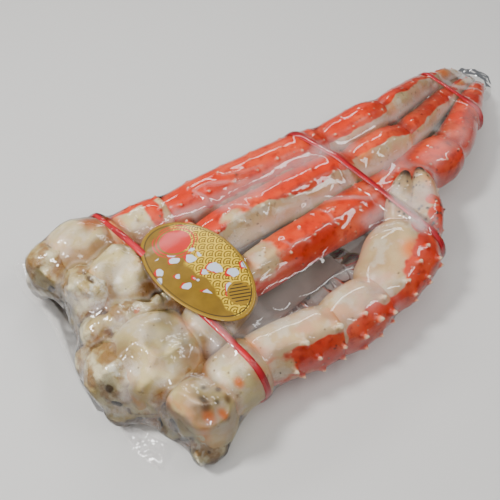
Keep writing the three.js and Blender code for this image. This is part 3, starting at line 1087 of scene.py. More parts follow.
@dataclass
class LimbPiece:
    """One hard piece of a limb, laid along a bent axis with an oval section."""

    name: str
    start: Array
    end: Array
    half: tuple[float, float]
    form: Form
    seed: int
    red_round: tuple[float, float] | None = None
    patches: tuple[Patch, ...] = ()
    bend: Place = UPWARDS
    spines: list[Spine] = field(default_factory=list)

    def __post_init__(self) -> None:
        """Work out the bent axis."""
        along = unit(self.end - self.start)
        self.first = self.start - along * self.form.reach
        self.middle = (self.first + self.end) / 2 + np.array(self.bend) * self.form.bow * 2
        self.length = float(np.linalg.norm(self.end - self.first))

    def set_spines(self, chance: Chance) -> None:
        """Place the spines of the form's rows.

        Args:
            chance: the numbers that vary them.
        """
        for row in self.form.rows:
            for i in range(row.count):
                step = i / (row.count - 1) if row.count > 1 else 0.5
                share = row.start + (row.stop - row.start) * step + 0.03 * (chance.next() - 0.5)
                angle = row.angle + 12 * (chance.next() - 0.5)
                scale = 0.85 + 0.3 * chance.next()
                high, wide = row.height * scale * self.form.sharp, row.radius * scale
                self.spines.append(Spine(share, angle, high, wide * (0.4 + 0.6 * self.form.sharp), 0.5))

    def set_knobs(self, count: int, low: float, high: float, dark: float = 0.4, size: float = 1.0) -> None:
        """Scatter low knobs over part of the piece.

        Args:
            count: how many there are.
            low: the lowest angle round the piece.
            high: the highest angle.
            dark: how many of them have a dark tip, from 0 to 1.
            size: how large they are.
        """
        chance = Chance(self.seed * 977 + 5)
        for _ in range(count):
            share, angle = chance.between(0.08, 0.95), chance.between(low, high)
            scale = chance.between(0.6, 1.1) * size
            self.spines.append(Spine(share, angle, 0.4 * scale, 0.9 * scale, float(chance.next() < dark)))

    def axis(self, share: Array) -> tuple[Array, Array, Array, Array]:
        """Return places on the axis with the directions along, to the side and up.

        Args:
            share: places along the piece, from 0 to 1.

        Returns:
            The places and the three directions.
        """
        s = np.clip(share, 0.001, 0.999)[..., None]
        place = (1 - s) ** 2 * self.first + 2 * s * (1 - s) * self.middle + s**2 * self.end
        along = unit((1 - s) * (self.middle - self.first) + s * (self.end - self.middle))
        side = unit(np.cross(np.array([0.0, 0.0, 1.0]), along))
        return place, along, side, np.cross(along, side)

    def swell(self, share: Array) -> Array:
        """Return the swell of the piece at some places along it.

        Args:
            share: places along the piece, from 0 to 1.

        Returns:
            The share of the full width there.
        """
        keys = self.form.swell
        total = np.full(share.shape, keys[0][1], float)
        for (start, low), (stop, high) in zip(keys, keys[1:]):
            rise = smooth_step(share, start, stop)
            total += (high - low) * rise
        return total

    def rings(self, spacing: float) -> Array:
        """Return places along the piece that lie an even distance apart on its surface.

        Args:
            spacing: the distance in millimetres.

        Returns:
            Places from 0 to 1, without the two ends.
        """
        share = (1 - np.cos(np.linspace(0, np.pi, 600))) / 2
        radius = max(self.half) * self.swell(share) * self._cap(share)
        steps = np.hypot(np.diff(share) * self.length, np.diff(radius))
        run = np.concatenate([[0], np.cumsum(steps)])
        count = max(int(run[-1] / spacing), 12)
        return np.interp(np.linspace(0, run[-1], count + 1)[1:-1], run, share)

    def _cap(self, share: Array) -> Array:
        """Return how far the section has opened at some places along the piece."""
        blunt = self.form.blunt
        return np.maximum(1 - np.abs(2 * share - 1) ** blunt, 0) ** (1 / blunt)

    def skin(self, spacing: float) -> Skin:
        """Build the surface with its relief and colours.

        Args:
            spacing: the distance between its points in millimetres.

        Returns:
            The closed surface.
        """
        share_row = self.rings(spacing)
        columns = max(int(math.pi * (self.half[0] + self.half[1]) / spacing), 16)
        angle_row = np.arange(columns) / columns * 2 * np.pi
        share, angle = np.meshgrid(share_row, angle_row, indexing="ij")
        place, along, side, up = self.axis(share_row)
        place, along, side, up = (k[:, None, :] for k in (place, along, side, up))
        size = self.swell(share) * self._cap(share)
        flat = 1 + 0.03 * np.cos(3 * (angle - np.pi / 2)) - 0.02 * np.cos(4 * angle)
        cos, sin = np.cos(angle)[..., None], np.sin(angle)[..., None]
        wide, high = (size * flat * self.half[0])[..., None], (size * flat * self.half[1])[..., None]
        points = place + side * wide * cos + up * high * sin
        outward = unit(side * cos * self.half[1] + up * sin * self.half[0])
        lift, lean, layers = self._relief(points, share, angle)
        points = points + outward * lift[..., None] + along * lean[..., None]
        ends = np.stack([self.first, self.end])
        quads = grid_faces(len(share_row), columns, closed=True)
        count, step = len(share_row) * columns, np.arange(columns)
        fans = np.concatenate([fan(count, step, True), fan(count + 1, count - columns + step)])
        flat_layers = {
            name: np.concatenate([values.ravel(), values[[0, -1]].mean(axis=1)])
            for name, values in layers.items()
        }
        whole = np.concatenate([points.reshape(-1, 3), ends])
        return Skin(whole, quads, fans, flat_layers)

    def _around(self, angle: Array, centre: float) -> Array:
        """Return the distance round the piece from an angle in degrees, in millimetres."""
        turn = (angle - math.radians(centre) + np.pi) % (2 * np.pi) - np.pi
        return turn * (self.half[0] + self.half[1]) / 2

    def _relief(self, points: Array, share: Array, angle: Array) -> tuple[Array, Array, dict]:
        """Work out how far the surface stands out, how it leans, and its colours.

        Args:
            points: the plain surface.
            share: places along the piece.
            angle: angles round it.

        Returns:
            The lift and the lean in millimetres, and the colour layers.
        """
        form = self.form
        inner = smooth_step(share, 0.0, 0.06) * smooth_step(share, 1.0, 0.96)
        lift = form.lumps * Grain(self.seed).layered(points, 26, 2) * inner
        fold = 1 - 2 * np.abs(Grain(self.seed + 13).at(points, (30, 20, 20)))
        lift += form.crest * (fold - 0.3) * inner
        lift += form.ridge * np.exp(-((self._around(angle, 112) / 4.5) ** 2)) * inner
        rim = np.exp(-(((share - 0.93) * self.length / 2.2) ** 2))
        lift += form.collar * rim - 0.5 * form.collar * np.exp(-(((share - 0.86) * self.length / 3.0) ** 2))
        lean = np.zeros_like(lift)
        layers = {name: np.zeros_like(lift) for name in Paint if name is not Paint.HAZE}
        self._paint_ground(points, share, angle, layers)
        for patch in self.patches:
            near = ((share - patch.share) * self.length / patch.along) ** 2
            near = near + (self._around(angle, patch.angle) / patch.around) ** 2
            hold = np.exp(-(near**1.5))
            if patch.paint and patch.strength < 0:
                layers[patch.paint] = layers[patch.paint] * (1 + hold * patch.strength)
            elif patch.paint:
                layers[patch.paint] = np.maximum(layers[patch.paint], hold * patch.strength)
            lift -= patch.depth * np.exp(-(near**2))
        for spine in self.spines:
            self._add_spine(spine, share, angle, lift, lean, layers)
        lift += 0.14 * Grain(self.seed + 7).layered(points, 5.0, 2) * inner
        return lift, lean, layers

    def _paint_ground(self, points: Array, share: Array, angle: Array, layers: dict[Paint, Array]) -> None:
        """Paint the red upper side and the orange joints.

        Args:
            points: the plain surface.
            share: places along the piece.
            angle: angles round it.
            layers: the colour layers to paint on.
        """
        uneven = Grain(self.seed + 3).layered(points, 14, 3)
        if self.red_round:
            middle, reach = sum(self.red_round) / 2, (self.red_round[1] - self.red_round[0]) / 2
            turn = np.degrees((angle - math.radians(middle) + np.pi) % (2 * np.pi) - np.pi)
            edge = reach - np.abs(turn) + 16 * uneven
            layers[Paint.RED] = smooth_step(edge, -12, 14)
        rim = np.exp(-(((share - 0.95) * self.length / 3.5) ** 2))
        rim += np.exp(-(((share - 0.07) * self.length / 4.5) ** 2))
        layers[Paint.ORANGE] = np.clip(rim * (0.35 + 0.9 * uneven), 0, 1)

    def _add_spine(
        self, spine: Spine, share: Array, angle: Array, lift: Array, lean: Array, layers: dict[Paint, Array]
    ) -> None:
        """Raise one spine out of the surface and colour its tip.

        Args:
            spine: the spine.
            share: places along the piece.
            angle: angles round it.
            lift: how far the surface stands out, which is added to.
            lean: how far it leans to the tip of the limb, which is added to.
            layers: the colour layers to paint on.
        """
        down = (share - spine.share) * self.length
        away = np.hypot(down, self._around(angle, spine.angle)) / spine.radius
        near = away < 3
        if not near.any():
            return
        q = away[near]
        cone = np.clip(1 - q, 0, 1)
        rise = spine.height * (cone**1.25 + 0.16 * np.exp(-((q / 1.5) ** 2)))
        lift[near] += rise
        lean[near] += 0.42 * spine.height * cone**1.6
        layers[Paint.TIP][near] = np.maximum(layers[Paint.TIP][near], smooth_step(q, 0.55, 0.2))
        if spine.black:
            black = spine.black * (smooth_step(q, 0.3, 0.1) if spine.height > 1 else smooth_step(q, 1.0, 0.5))
            layers[Paint.SPECK][near] = np.maximum(layers[Paint.SPECK][near], black)


@dataclass(frozen=True)
class Shells:
    """The two materials of shell."""

    limb: bpy.types.Material
    shoulder: bpy.types.Material


@dataclass(frozen=True)
class Plan:
    """What one piece of a limb is: its kind, far joint, half width and height, painting and bend."""

    kind: str
    end: Place
    half: tuple[float, float]
    red: tuple[float, float] | None = None
    patches: tuple[Patch, ...] = ()
    bend: Place = UPWARDS


@dataclass
class Limb:
    """One limb, from the body to its tip, as separate hard pieces."""

    name: str
    body: Place
    plans: tuple[Plan, ...]
    forms: dict[str, Form]
    seed: int
    spacing: float = 0.85

    def pieces(self, chance: Chance) -> list[LimbPiece]:
        """Lay out the pieces with their spines.

        Args:
            chance: the numbers that vary the spines.

        Returns:
            The pieces from the body outwards.
        """
        start, made = np.array(self.body), []
        for i, plan in enumerate(self.plans):
            end = np.array(plan.end)
            form = self.forms[plan.kind]
            name = f"{self.name}_{plan.kind}"
            limb_piece = LimbPiece(
                name, start, end, plan.half, form, self.seed + i, plan.red, plan.patches, plan.bend
            )
            limb_piece.set_spines(chance)
            if plan.red:
                limb_piece.set_knobs(int(limb_piece.length / 12), *plan.red)
                limb_piece.set_knobs(int(limb_piece.length / 7), 100, 200, 0.8)
            made.append(limb_piece)
            start = end
        return made

    def build(self, chance: Chance, shells: Shells) -> Skin:
        """Build and dress the limb.

        Args:
            chance: the numbers that vary the spines.
            shells: the materials of shell.

        Returns:
            Every surface of the limb as one skin.
        """
        return self.show(self.pieces(chance), shells)

    def show(self, pieces: list[LimbPiece], shells: Shells) -> Skin:
        """Put the pieces into the scene.

        Args:
            pieces: the limb's hard pieces.
            shells: the materials of shell.

        Returns:
            Every surface of them as one skin.
        """
        whole = Skin.empty()
        for limb_piece in pieces:
            skin = rested(limb_piece.skin(self.spacing))
            if limb_piece.name.endswith(("coxa", "ischium")):
                piece(f"shell_{limb_piece.name}", skin, shells.shoulder, "shell_cream", limb_piece.name)
            else:
                piece(f"shell_{limb_piece.name}", skin, shells.limb, "shell_red", limb_piece.name)
            whole = whole.joined(skin)
        return whole


@dataclass(frozen=True)
class Finger:
    """One finger of the claw: where it leaves the palm, its tip, half width and height, bend and painting."""

    name: str
    offset: Place
    tip: Place
    half: tuple[float, float]
    bend: Place
    patches: tuple[Patch, ...]


FIXED_FINGER = Finger("fixed", (-4, 10.5, 0), (33, -40, 52.5), (10.5, 8.5), (-0.6, 0.4, 0.6), (
    Patch(1.0, 90, 9, 32, Paint.SPECK, 1.0), Patch(0.75, 95, 8, 12, Paint.SHADE, 0.65)))
MOVING_FINGER = Finger("moving", (1, -10.5, 1), (43, -44, 52), (13, 9.5), (0.4, -0.3, 0.6), (
    Patch(1.0, 90, 6.5, 32, Paint.SPECK, 1.0), Patch(0.75, 120, 8, 7, Paint.ORANGE, 0.4),
    Patch(0.48, 108, 5, 7, Paint.RED, 1.0), Patch(0.3, 122, 8, 9, Paint.RED, 1.0),
    Patch(0.12, 112, 8, 10, Paint.RED, 1.0), Patch(0.35, 170, 18, 12, Paint.RED, 0.9)))


@dataclass
class Claw(Limb):
    """The claw, whose palm carries a fixed finger and a moving one."""

    fixed: Finger = FIXED_FINGER
    moving: Finger = MOVING_FINGER
    knobs: int = 46

    def build(self, chance: Chance, shells: Shells) -> Skin:
        """Build and dress the claw.

        Args:
            chance: the numbers that vary the spines.
            shells: the materials of shell.

        Returns:
            Every surface of the claw as one skin.
        """
        *arm, palm = self.pieces(chance)
        fixed, moving = [self._laid(finger, palm.end, chance) for finger in (self.fixed, self.moving)]
        whole = self.show(arm, shells)
        grip = rested(palm.skin(self.spacing).joined(fixed.skin(self.spacing)))
        piece("shell_claw_palm", grip, shells.limb, "shell_red", "claw_palm")
        thumb = rested(moving.skin(self.spacing))
        piece("shell_claw_dactylus", thumb, shells.limb, "shell_red", "claw_dactylus")
        return whole.joined(grip).joined(thumb)

    def _laid(self, finger: Finger, root: Array, chance: Chance) -> LimbPiece:
        """Lay out one finger with its spines and knobs.

        Args:
            finger: the finger's sizes and painting.
            root: the far end of the palm.
            chance: the numbers that vary the spines.

        Returns:
            The finger.
        """
        start, tip = root + np.array(finger.offset), np.array(finger.tip, float)
        form, seed = CLAW_FORMS["finger"], self.seed + len(finger.name)
        name = f"claw_{finger.name}"
        laid = LimbPiece(name, start, tip, finger.half, form, seed, None, finger.patches, finger.bend)
        laid.set_spines(chance)
        laid.set_knobs(self.knobs, 20, 220, 0.9, 1.7)
        return laid


# The least height over the floor at which the shells and the meat rest.
REST = 0.95


def rested(skin: Skin) -> Skin:
    """Return a skin with nothing below the height at which the section rests.

    Args:
        skin: any skin.

    Returns:
        The skin, flattened where it would reach lower.
    """
    points = skin.points.copy()
    low = REST + 0.15 * Grain(5).at(points, 9.0) ** 2
    points[:, 2] = np.maximum(points[:, 2], low)
    return Skin(points, skin.quads, skin.triangles, skin.layers)


# The colour of the joints, also used for the tan spots of the shoulder.
TAN = Paint.ORANGE

REAR = Limb(
    "rear",
    (-208, 90, 27),
    (
        Plan("coxa", (-162, 75, 30), (23, 25), None, (
            Patch(0.75, 129, 7, 7, Paint.SHADE, 0.55, 1.4), Patch(0.4, 160, 9, 5, Paint.SHADE, 0.7, 1.2),
            Patch(0.75, 70, 7, 10, TAN, 0.8))),
        Plan("ischium", (-118, 66, 32), (20, 20), (-60, 70), (
            Patch(0.2, 110, 5, 26, TAN, 0.9), Patch(0.75, 100, 7, 22, Paint.RED, 0.8))),
        Plan("merus", (22, 34, 36), (19, 18.5), (-70, 158), (
            Patch(0.4, 196, 70, 8, Paint.SHADE, 0.5), Patch(0.1, 165, 10, 7, Paint.RED, -0.8))),
        Plan("carpus", (86, 24, 41), (17, 16), (-60, 132), (
            Patch(0.4, 175, 30, 8, Paint.SHADE, 0.35), Patch(0.6, 100, 8, 6, TAN, 0.7))),
        Plan("propodus", (187, 33, 22), (13, 12.5), (-60, 104), (
            Patch(0.5, 200, 60, 5, Paint.SHADE, 0.5),)),
        Plan("dactylus", (243, 31, 1.6), (8.5, 8), (-40, 70), (Patch(0.2, 110, 8, 8, TAN, 0.8),)),
    ),
    LEG_FORMS,
    100,
)
MIDDLE = Limb(
    "middle",
    (-202, 44, 30),
    (
        Plan("coxa", (-163, 33, 34), (27, 26), None, (
            Patch(0.88, 147, 7, 9, Paint.SHADE, 0.75, 1.6), Patch(0.3, 120, 9, 10, Paint.SHADE, 0.35, 1.4),
            Patch(0.6, 90, 12, 12, None, 0.0, 1.6))),
        Plan("ischium", (-118, 24, 37), (23, 20), (-60, 60), (Patch(0.6, 110, 10, 10, TAN, 0.4),)),
        Plan("merus", (14, 1, 38), (19, 18.5), (-60, 124), (
            Patch(0.45, 32, 80, 6, Paint.SHADE, 0.35), Patch(0.36, 124, 14, 6, Paint.RED, -1.0),
            Patch(0.66, 122, 20, 3.5, Paint.RED, 1.0), Patch(0.2, 100, 16, 8, Paint.RED, -0.6))),
        Plan("carpus", (77, -8, 38), (17, 16), (-60, 112), (
            Patch(0.3, 45, 30, 6, Paint.SHADE, 0.4), Patch(0.25, 112, 8, 7, TAN, 0.8))),
        Plan("propodus", (185, 10, 20), (12.5, 12), (-60, 124), (
            Patch(0.4, 190, 60, 5, Paint.SHADE, 0.5), Patch(0.5, 40, 60, 4, Paint.SHADE, 0.4))),
        Plan("dactylus", (245, 18, 1.6), (8, 7.5), (-40, 80), (Patch(0.2, 110, 8, 8, TAN, 0.8),)),
    ),
    LEG_FORMS,
    200,
)
FRONT = Limb(
    "front",
    (-226, -16, 28),
    (
        Plan("coxa", (-174, -29, 31), (31, 27), None, (
            Patch(0.84, 126, 7, 9, Paint.SHADE, 0.4, 1.6), Patch(0.06, 104, 4, 3, TAN, 1.0),
            Patch(0.45, 112, 17, 15, None, 0.0, 2.2), Patch(0.2, 80, 8, 14, Paint.SHADE, 0.55, 1.5))),
        Plan("ischium", (-122, -17, 32.5), (20, 20), None, (Patch(0.6, 130, 12, 5, Paint.SHADE, 0.5),)),
        Plan("merus", (40, -34, 26), (18.5, 18), (38, 230), (
            Patch(0.12, 90, 22, 26, Paint.RED, -0.8), Patch(0.98, 150, 12, 16, Paint.RED, -0.7))),
        Plan("carpus", (99, -42, 34), (21.5, 17), (10, 250), (Patch(0.35, 80, 12, 9, TAN, 0.5),)),
        Plan("propodus", (188, -9, 25), (15.5, 13), (10, 250), (Patch(0.2, 60, 10, 5, Paint.SHADE, 0.4),)),
        Plan("dactylus", (240, 8, 1.6), (9.5, 8.5), (10, 240), (Patch(0.15, 90, 5, 6, TAN, 0.7),)),
    ),
    LEG_FORMS,
    300,
)
CLAW = Claw(
    "claw",
    (-215, -70, 27),
    (
        Plan("coxa", (-184, -66, 29), (24, 25), None, (
            Patch(0.5, 110, 13, 17, Paint.SHADE, 0.3, 1.5),
            Patch(0.33, 121, 3.5, 5, TAN, 1.0), Patch(0.53, 133, 2.5, 4, TAN, 1.0),
            Patch(0.82, 105, 2.4, 3.2, Paint.SPECK, 0.9), Patch(0.47, 99, 2.2, 3.6, Paint.SPECK, 0.8),
            Patch(0.79, 126, 3, 3.2, Paint.SHADE, 1.0), Patch(0.66, 84, 1.8, 1.8, Paint.SPECK, 0.8),
            Patch(0.42, 108, 3.5, 4, Paint.SHADE, 1.0), Patch(0.6, 116, 1.6, 1.8, Paint.SPECK, 0.7))),
        Plan("ischium", (-154, -68, 30), (22, 22), None, (
            Patch(0.36, 121, 3, 4, TAN, 1.0), Patch(0.75, 87, 2.2, 2.6, Paint.SHADE, 1.0),
            Patch(0.74, 129, 4, 5, TAN, 0.5))),
        Plan("merus", (-100, -86.5, 28), (20, 19), (122, 262), (
            Patch(0.3, 118, 9, 7, Paint.SHADE, 0.4), Patch(0.2, 150, 16, 12, Paint.RED, -0.75),
            Patch(1.0, 150, 3.5, 22, Paint.RED, -0.9), Patch(0.45, 200, 24, 9, Paint.RED, -0.5))),
        Plan("carpus", (-58, -89, 28), (21.5, 19), (110, 262), (
            Patch(0.03, 130, 5, 12, Paint.RED, -1.0), Patch(0.4, 98, 9, 6, Paint.SHADE, 0.15),
            Patch(0.85, 118, 7, 6, Paint.RED, -0.9))),
        Plan("palm", (3, -73, 36), (28, 18.5), (101, 265), (
            Patch(0.92, 100, 9, 7, Paint.RED, 0.9), Patch(0.6, 104, 8, 6, TAN, 0.9),
            Patch(0.2, 112, 12, 7, Paint.RED, -0.9), Patch(0.55, 65, 24, 14, Paint.SHADE, 0.12)),
            (0.0, -1.0, 0.5)),
    ),
    CLAW_FORMS,
    400,
)


# ---- Body meat


@dataclass(frozen=True)
class Lump:
    """One lump of the cut shoulder."""

    centre: Place
    half: Place


@dataclass
class BodyMeat:
    """The meat and inner shell of the cut shoulder behind one limb."""

    name: str
    lumps: tuple[Lump, ...]
    seed: int
    # Dents, each also painted with shade: middle x, y, z and reach.
    hollows: tuple[tuple[float, float, float, float], ...] = ()
    voxel: float = 1.5

    def build(self, finish: bpy.types.Material) -> Skin:
        """Build and dress the meat.

        Args:
            finish: the meat's material.

        Returns:
            Its surface.
        """
        whole = Skin.empty()
        for lump in self.lumps:
            whole = whole.joined(self._ball(lump))
        skin = remeshed(whole, self.voxel)
        edges = edges_of(skin)
        points = relaxed(skin.points, edges, 0.6, 6)
        normals = normals_of(Skin(points, skin.quads, skin.triangles))
        grain = Grain(self.seed)
        fold = 1 - np.abs(grain.at(points, (11, 16, 9))) * 2
        strand = 1 - np.abs(Grain(self.seed + 3).at(points, (4, 9, 3.5))) * 2
        fine = Grain(self.seed + 9).layered(points, 3.5, 2)
        lift = 1.9 * fold + 0.9 * strand + 0.45 * fine - 1.4
        # Painted shade: darker in the valleys of the folds, towards the floor and in concave recesses.
        shade = smooth_step(fold + 0.4 * strand, 0.1, -0.8)
        shade = np.maximum(shade, smooth_step(points[:, 2], 23, 7))
        inward = ((relaxed(points, edges, 0.7, 40) - points) * normals).sum(1)
        shade = np.maximum(shade, smooth_step(inward, 0.15, 1.0))
        # Painted shade in the hollows: each is dented, darkened and filled near-black.
        dark = np.zeros(len(points))
        for x, y, z, reach in self.hollows:
            away = np.linalg.norm((points - np.array([x, y, z])) / reach, axis=1)
            hold = np.exp(-(away**2) * 1.5)
            lift -= 4.5 * hold
            shade = np.maximum(shade, hold * 0.9)
            dark = np.maximum(dark, smooth_step(hold, 0.15, 0.7) * 0.95)
        skin.points = points + normals * lift[:, None]
        blotch = Grain(self.seed + 20).layered(points, 18, 3)
        skin.layers = {
            Paint.SHADE: np.clip(shade, 0, 1),
            Paint.ORANGE: smooth_step(blotch, 0.42, 0.62) * 0.8,
            Paint.SPECK: dark,
            Paint.TIP: smooth_step(Grain(self.seed + 40).layered(points, 25, 2), 0.05, 0.45),
        }
        skin = rested(skin)
        piece(f"meat_{self.name}", skin, finish, "meat", f"{self.name}_body_meat")
        return skin

    def _ball(self, lump: Lump) -> Skin:
        """Return one lump as a closed ball with dents.

        Args:
            lump: its middle and half sizes.

        Returns:
            The ball.
        """
        rows, columns = 25, 36
        polar = np.linspace(0, np.pi, rows + 2)[1:-1, None]
        turn = np.arange(columns)[None] / columns * 2 * np.pi
        ball = np.stack(
            [np.sin(polar) * np.cos(turn), np.sin(polar) * np.sin(turn), np.cos(polar) + 0 * turn], -1
        )
        flat = ball.reshape(-1, 3)
        dents = 1 + 0.1 * Grain(self.seed + 1).layered(flat * np.array(lump.half), 16, 2)
        points = np.array(lump.centre) + flat * np.array(lump.half) * dents[:, None]
        poles = np.array(lump.centre) + np.array([[0, 0, 1], [0, 0, -1]]) * lump.half[2]
        count, step = rows * columns, np.arange(columns)
        fans = np.concatenate([fan(count, step), fan(count + 1, count - columns + step, True)])
        quads = grid_faces(rows, columns, closed=True)[:, ::-1]
        return Skin(np.concatenate([points, poles]), quads, fans)


MEATS = (
    BodyMeat(
        "rear",
        (
            Lump((-208, 88, 28), (20, 20, 25)),
            Lump((-219, 92, 15), (12, 14, 13)),
            Lump((-214, 74, 29), (12, 12, 17)),
            Lump((-186, 60, 28), (20, 8, 17)),
        ),
        510,
        ((-226, 66, 34, 7),),
    ),
    BodyMeat(
        "middle",
        (
            Lump((-204, 45, 31), (20, 22, 26)),
            Lump((-216, 40, 17), (12, 16, 14)),
            Lump((-204, 64, 24), (12, 12, 18)),
            Lump((-216, 18, 29), (14, 13, 18)),
            Lump((-186, 5, 30), (26, 8, 19)),
            Lump((-200, 12, 33), (20, 12, 17)),
        ),
        520,
        ((-224, 48, 36, 8), (-232, 27, 30, 7)),
    ),
    BodyMeat(
        "front",
        (
            Lump((-225, -14, 28), (20, 24, 23)),
            Lump((-231, 6, 20), (11, 15, 15)),
            Lump((-234, -27, 14), (11, 12, 12)),
            Lump((-200, -47, 30), (22, 8, 15)),
            Lump((-212, -38, 24), (20, 14, 17)),
        ),
        530,
        ((-240, -32, 30, 6), (-233, -47, 33, 7)),
    ),
    BodyMeat(
        "claw",
        (
            Lump((-204, -66, 26), (17, 20, 22)),
            Lump((-210, -82, 13), (13, 12, 12)),
            Lump((-218, -56, 16), (9, 12, 12)),
        ),
        540,
        ((-222, -64, 28, 8), (-229, -50, 20, 8)),
    ),
)


# ---- Bands, label and card


def outline_of(points: Array) -> Array:
    """Return the corners of the tight outline round some flat points, anticlockwise.

    Args:
        points: places in a plane, as rows of two numbers.

    Returns:
        The corners in order.
    """
    order = points[np.lexsort((points[:, 1], points[:, 0]))]

    def chain(run: Array) -> list[Array]:
        """Return one side of the outline.

        Args:
            run: the points in order along it.

        Returns:
            Its corners without the last.
        """
        kept: list[Array] = []
        for point in run:
            while len(kept) > 1:
                a, b = kept[-1] - kept[-2], point - kept[-1]
                if a[0] * b[1] - a[1] * b[0] > 1e-9:
                    break
                kept.pop()
            kept.append(point)
        return kept[:-1]

    return np.array(chain(order) + chain(order[::-1]))


@dataclass
class Band:
    """A flat band pulled tight round the bundle, under the film."""

    name: str
    x: float
    y: float
    wide: float
    skew: float
    seed: int
    gap: float = 0.3
    thick: float = 0.6
    corners: Array = field(init=False, repr=False)

    def build(self, held: Skin, finish: bpy.types.Material) -> None:
        """Build and dress the band.

        Args:
            held: everything that it goes round.
            finish: the band's material.
        """
        flat = self._local(held.points)
        near = np.abs(flat[:, 0]) < self.wide / 2 + 0.5
        corners = outline_of(flat[near][:, 1:])
        corners = corners[np.linalg.norm(corners - np.roll(corners, 1, 0), axis=1) > 0.4]
        self.corners = corners
        sides = np.roll(corners, -1, 0) - corners
        run = np.concatenate([[0], np.cumsum(np.linalg.norm(sides, axis=1))])
        count = int(run[-1] / 1.6)
        at = np.arange(count) / count * run[-1]
        ring = np.stack([np.interp(at, run, np.append(corners[:, k], corners[0, k])) for k in range(2)], 1)
        ahead = unit(np.roll(ring, -2, 0) - np.roll(ring, 2, 0))
        outward = np.stack([ahead[:, 1], -ahead[:, 0]], 1)
        turn = at / run[-1] * 2 * np.pi
        spots = np.stack([np.cos(turn), np.sin(turn), 0 * turn], 1) * run[-1] / 6.3
        half = self.wide / 2 * (0.76 + 0.4 * Grain(self.seed).layered(spots, 30, 2))
        slant = 0.35 * Grain(self.seed + 1).at(spots, 22)
        sway = 0.8 * Grain(self.seed + 2).at(spots, 45)
        rows = []
        for side, out in ((-1, 0), (0, 0.1), (1, 0), (1, 1), (0, 1.25), (-1, 1)):
            lift = self.gap + out * self.thick + np.maximum(side * slant, 0) * 1.1
            place = ring + outward * lift[:, None]
            rows.append(np.stack([side * half + sway, place[:, 0], place[:, 1]], 1))
        grid = np.stack(rows, 1)
        columns = grid.shape[1]
        faces = grid_faces(count + 1, columns, closed=True) % (count * columns)
        points = self._world(grid.reshape(-1, 3))
        points[:, 2] = np.maximum(points[:, 2], 0.35)
        piece(self.name, Skin(points, faces[:, ::-1]), finish, "band", self.name)

    def cover(self, points: Array) -> Array:
        """Return 1 over the band and 0 beside it for some places."""
        return smooth_step(np.abs(self._local(points)[:, 0]), self.wide / 2 + 2.2, self.wide / 2 + 0.6)

    def hold_out(self, points: Array, clear: float) -> Array:
        """Lift the film off the band.

        Args:
            points: the film's points.
            clear: how far outside the band they stay.

        Returns:
            The points, moved outwards near the band.
        """
        flat, hold = self._local(points), self.cover(points)
        near = hold > 0
        sides = np.roll(self.corners, -1, 0) - self.corners
        normals = unit(np.stack([sides[:, 1], -sides[:, 0]], 1))
        reach = (normals * self.corners).sum(1) + self.gap + self.thick * 1.25 + 0.3 + clear
        depth = flat[near][:, 1:] @ normals.T - reach
        side = depth.argmax(1)
        short = np.maximum(-depth[np.arange(len(side)), side], 0) * hold[near]
        flat[near, 1:] += normals[side] * short[:, None]
        return self._world(flat)

    def _local(self, points: Array) -> Array:
        """Return places relative to the band.

        Args:
            points: places in the layout.

        Returns:
            The places, with x across the band.
        """
        cos, sin = math.cos(math.radians(self.skew)), math.sin(math.radians(self.skew))
        x, y = points[:, 0] - self.x, points[:, 1] - self.y
        return np.stack([x * cos - y * sin, x * sin + y * cos, points[:, 2]], 1)

    def _world(self, points: Array) -> Array:
        """Return places in the layout.

        Args:
            points: places relative to the band.

        Returns:
            The places in the layout.
        """
        cos, sin = math.cos(math.radians(self.skew)), math.sin(math.radians(self.skew))
        x, y = points[:, 0], points[:, 1]
        return np.stack([self.x + x * cos + y * sin, self.y - x * sin + y * cos, points[:, 2]], 1)


@dataclass
class Label:
    """The oval label, a thin sheet stuck on the film, drooping towards its ends."""

    x: float = -146.0
    y: float = -0.4
    z: float = 59.3
    long: float = 98.0
    short: float = 57.0
    thick: float = 0.4
    droop: float = 6.0

    def height(self, y: Array) -> Array:
        """Return the height of the label's middle layer at some places along it."""
        return self.z - self.droop * (2 * (y - self.y) / self.long) ** 2

    def reach(self, x: Array, y: Array) -> Array:
        """Return 0 at the label's middle and 1 at its edge for some places."""
        return np.hypot((x - self.x) * 2 / self.short, (y - self.y) * 2 / self.long)

    def hold_under(self, points: Array, clear: float) -> Array:
        """Press the film down so that the label lies on it.

        Args:
            points: the film's points.
            clear: the space left below the label.

        Returns:
            The points, none of them above the label's underside where it covers them.
        """
        x, y = points[:, 0], points[:, 1]
        roof = self.height(y) - self.thick / 2 - clear + 12 * np.maximum(self.reach(x, y) - 1.04, 0)
        near = (self.reach(x, y) < 1.3) & (points[:, 2] > 40)
        points = points.copy()
        points[near, 2] = np.minimum(points[near, 2], roof[near])
        return points

    def build(self, finish: bpy.types.Material) -> None:
        """Build and dress the label.

        Args:
            finish: the label's material.
        """
        rings, columns = 40, 180
        turn = np.arange(columns) / columns * 2 * np.pi
        part = np.linspace(0.02, 1, rings)[:, None]
        x = self.x + part * np.cos(turn) * self.short / 2
        y = self.y + part * np.sin(turn) * self.long / 2
        flat = np.stack([x, y, 0 * x], -1)
        wave = 0.16 * Grain(61).layered(flat, 17, 2) + 0.05 * Grain(62).at(flat, 4.0)
        top = self.height(y) + self.thick / 2 + wave
        edge = 0.12 * smooth_step(part, 0.985, 1.0)
        upper = np.stack([x, y, top - edge], -1).reshape(-1, 3)
        lower = np.stack([x, y, top - self.thick + edge * 0.5], -1).reshape(-1, 3)
        count = rings * columns
        middle = np.array([[self.x, self.y, self.z + side * self.thick / 2] for side in (1, -1)])
        step, nxt = np.arange(columns), (np.arange(columns) + 1) % columns
        quads = grid_faces(rings, columns, closed=True)
        last = count - columns
        wall = np.stack([last + step, count + last + step, count + last + nxt, last + nxt], 1)
        quads = np.concatenate([quads[:, ::-1], quads + count, wall])
        fans = np.concatenate([fan(2 * count, step), fan(2 * count + 1, count + step, True)])
        skin = Skin(np.concatenate([upper, lower, middle]), quads, fans)
        piece("label_oval", skin, finish, "label", "label")


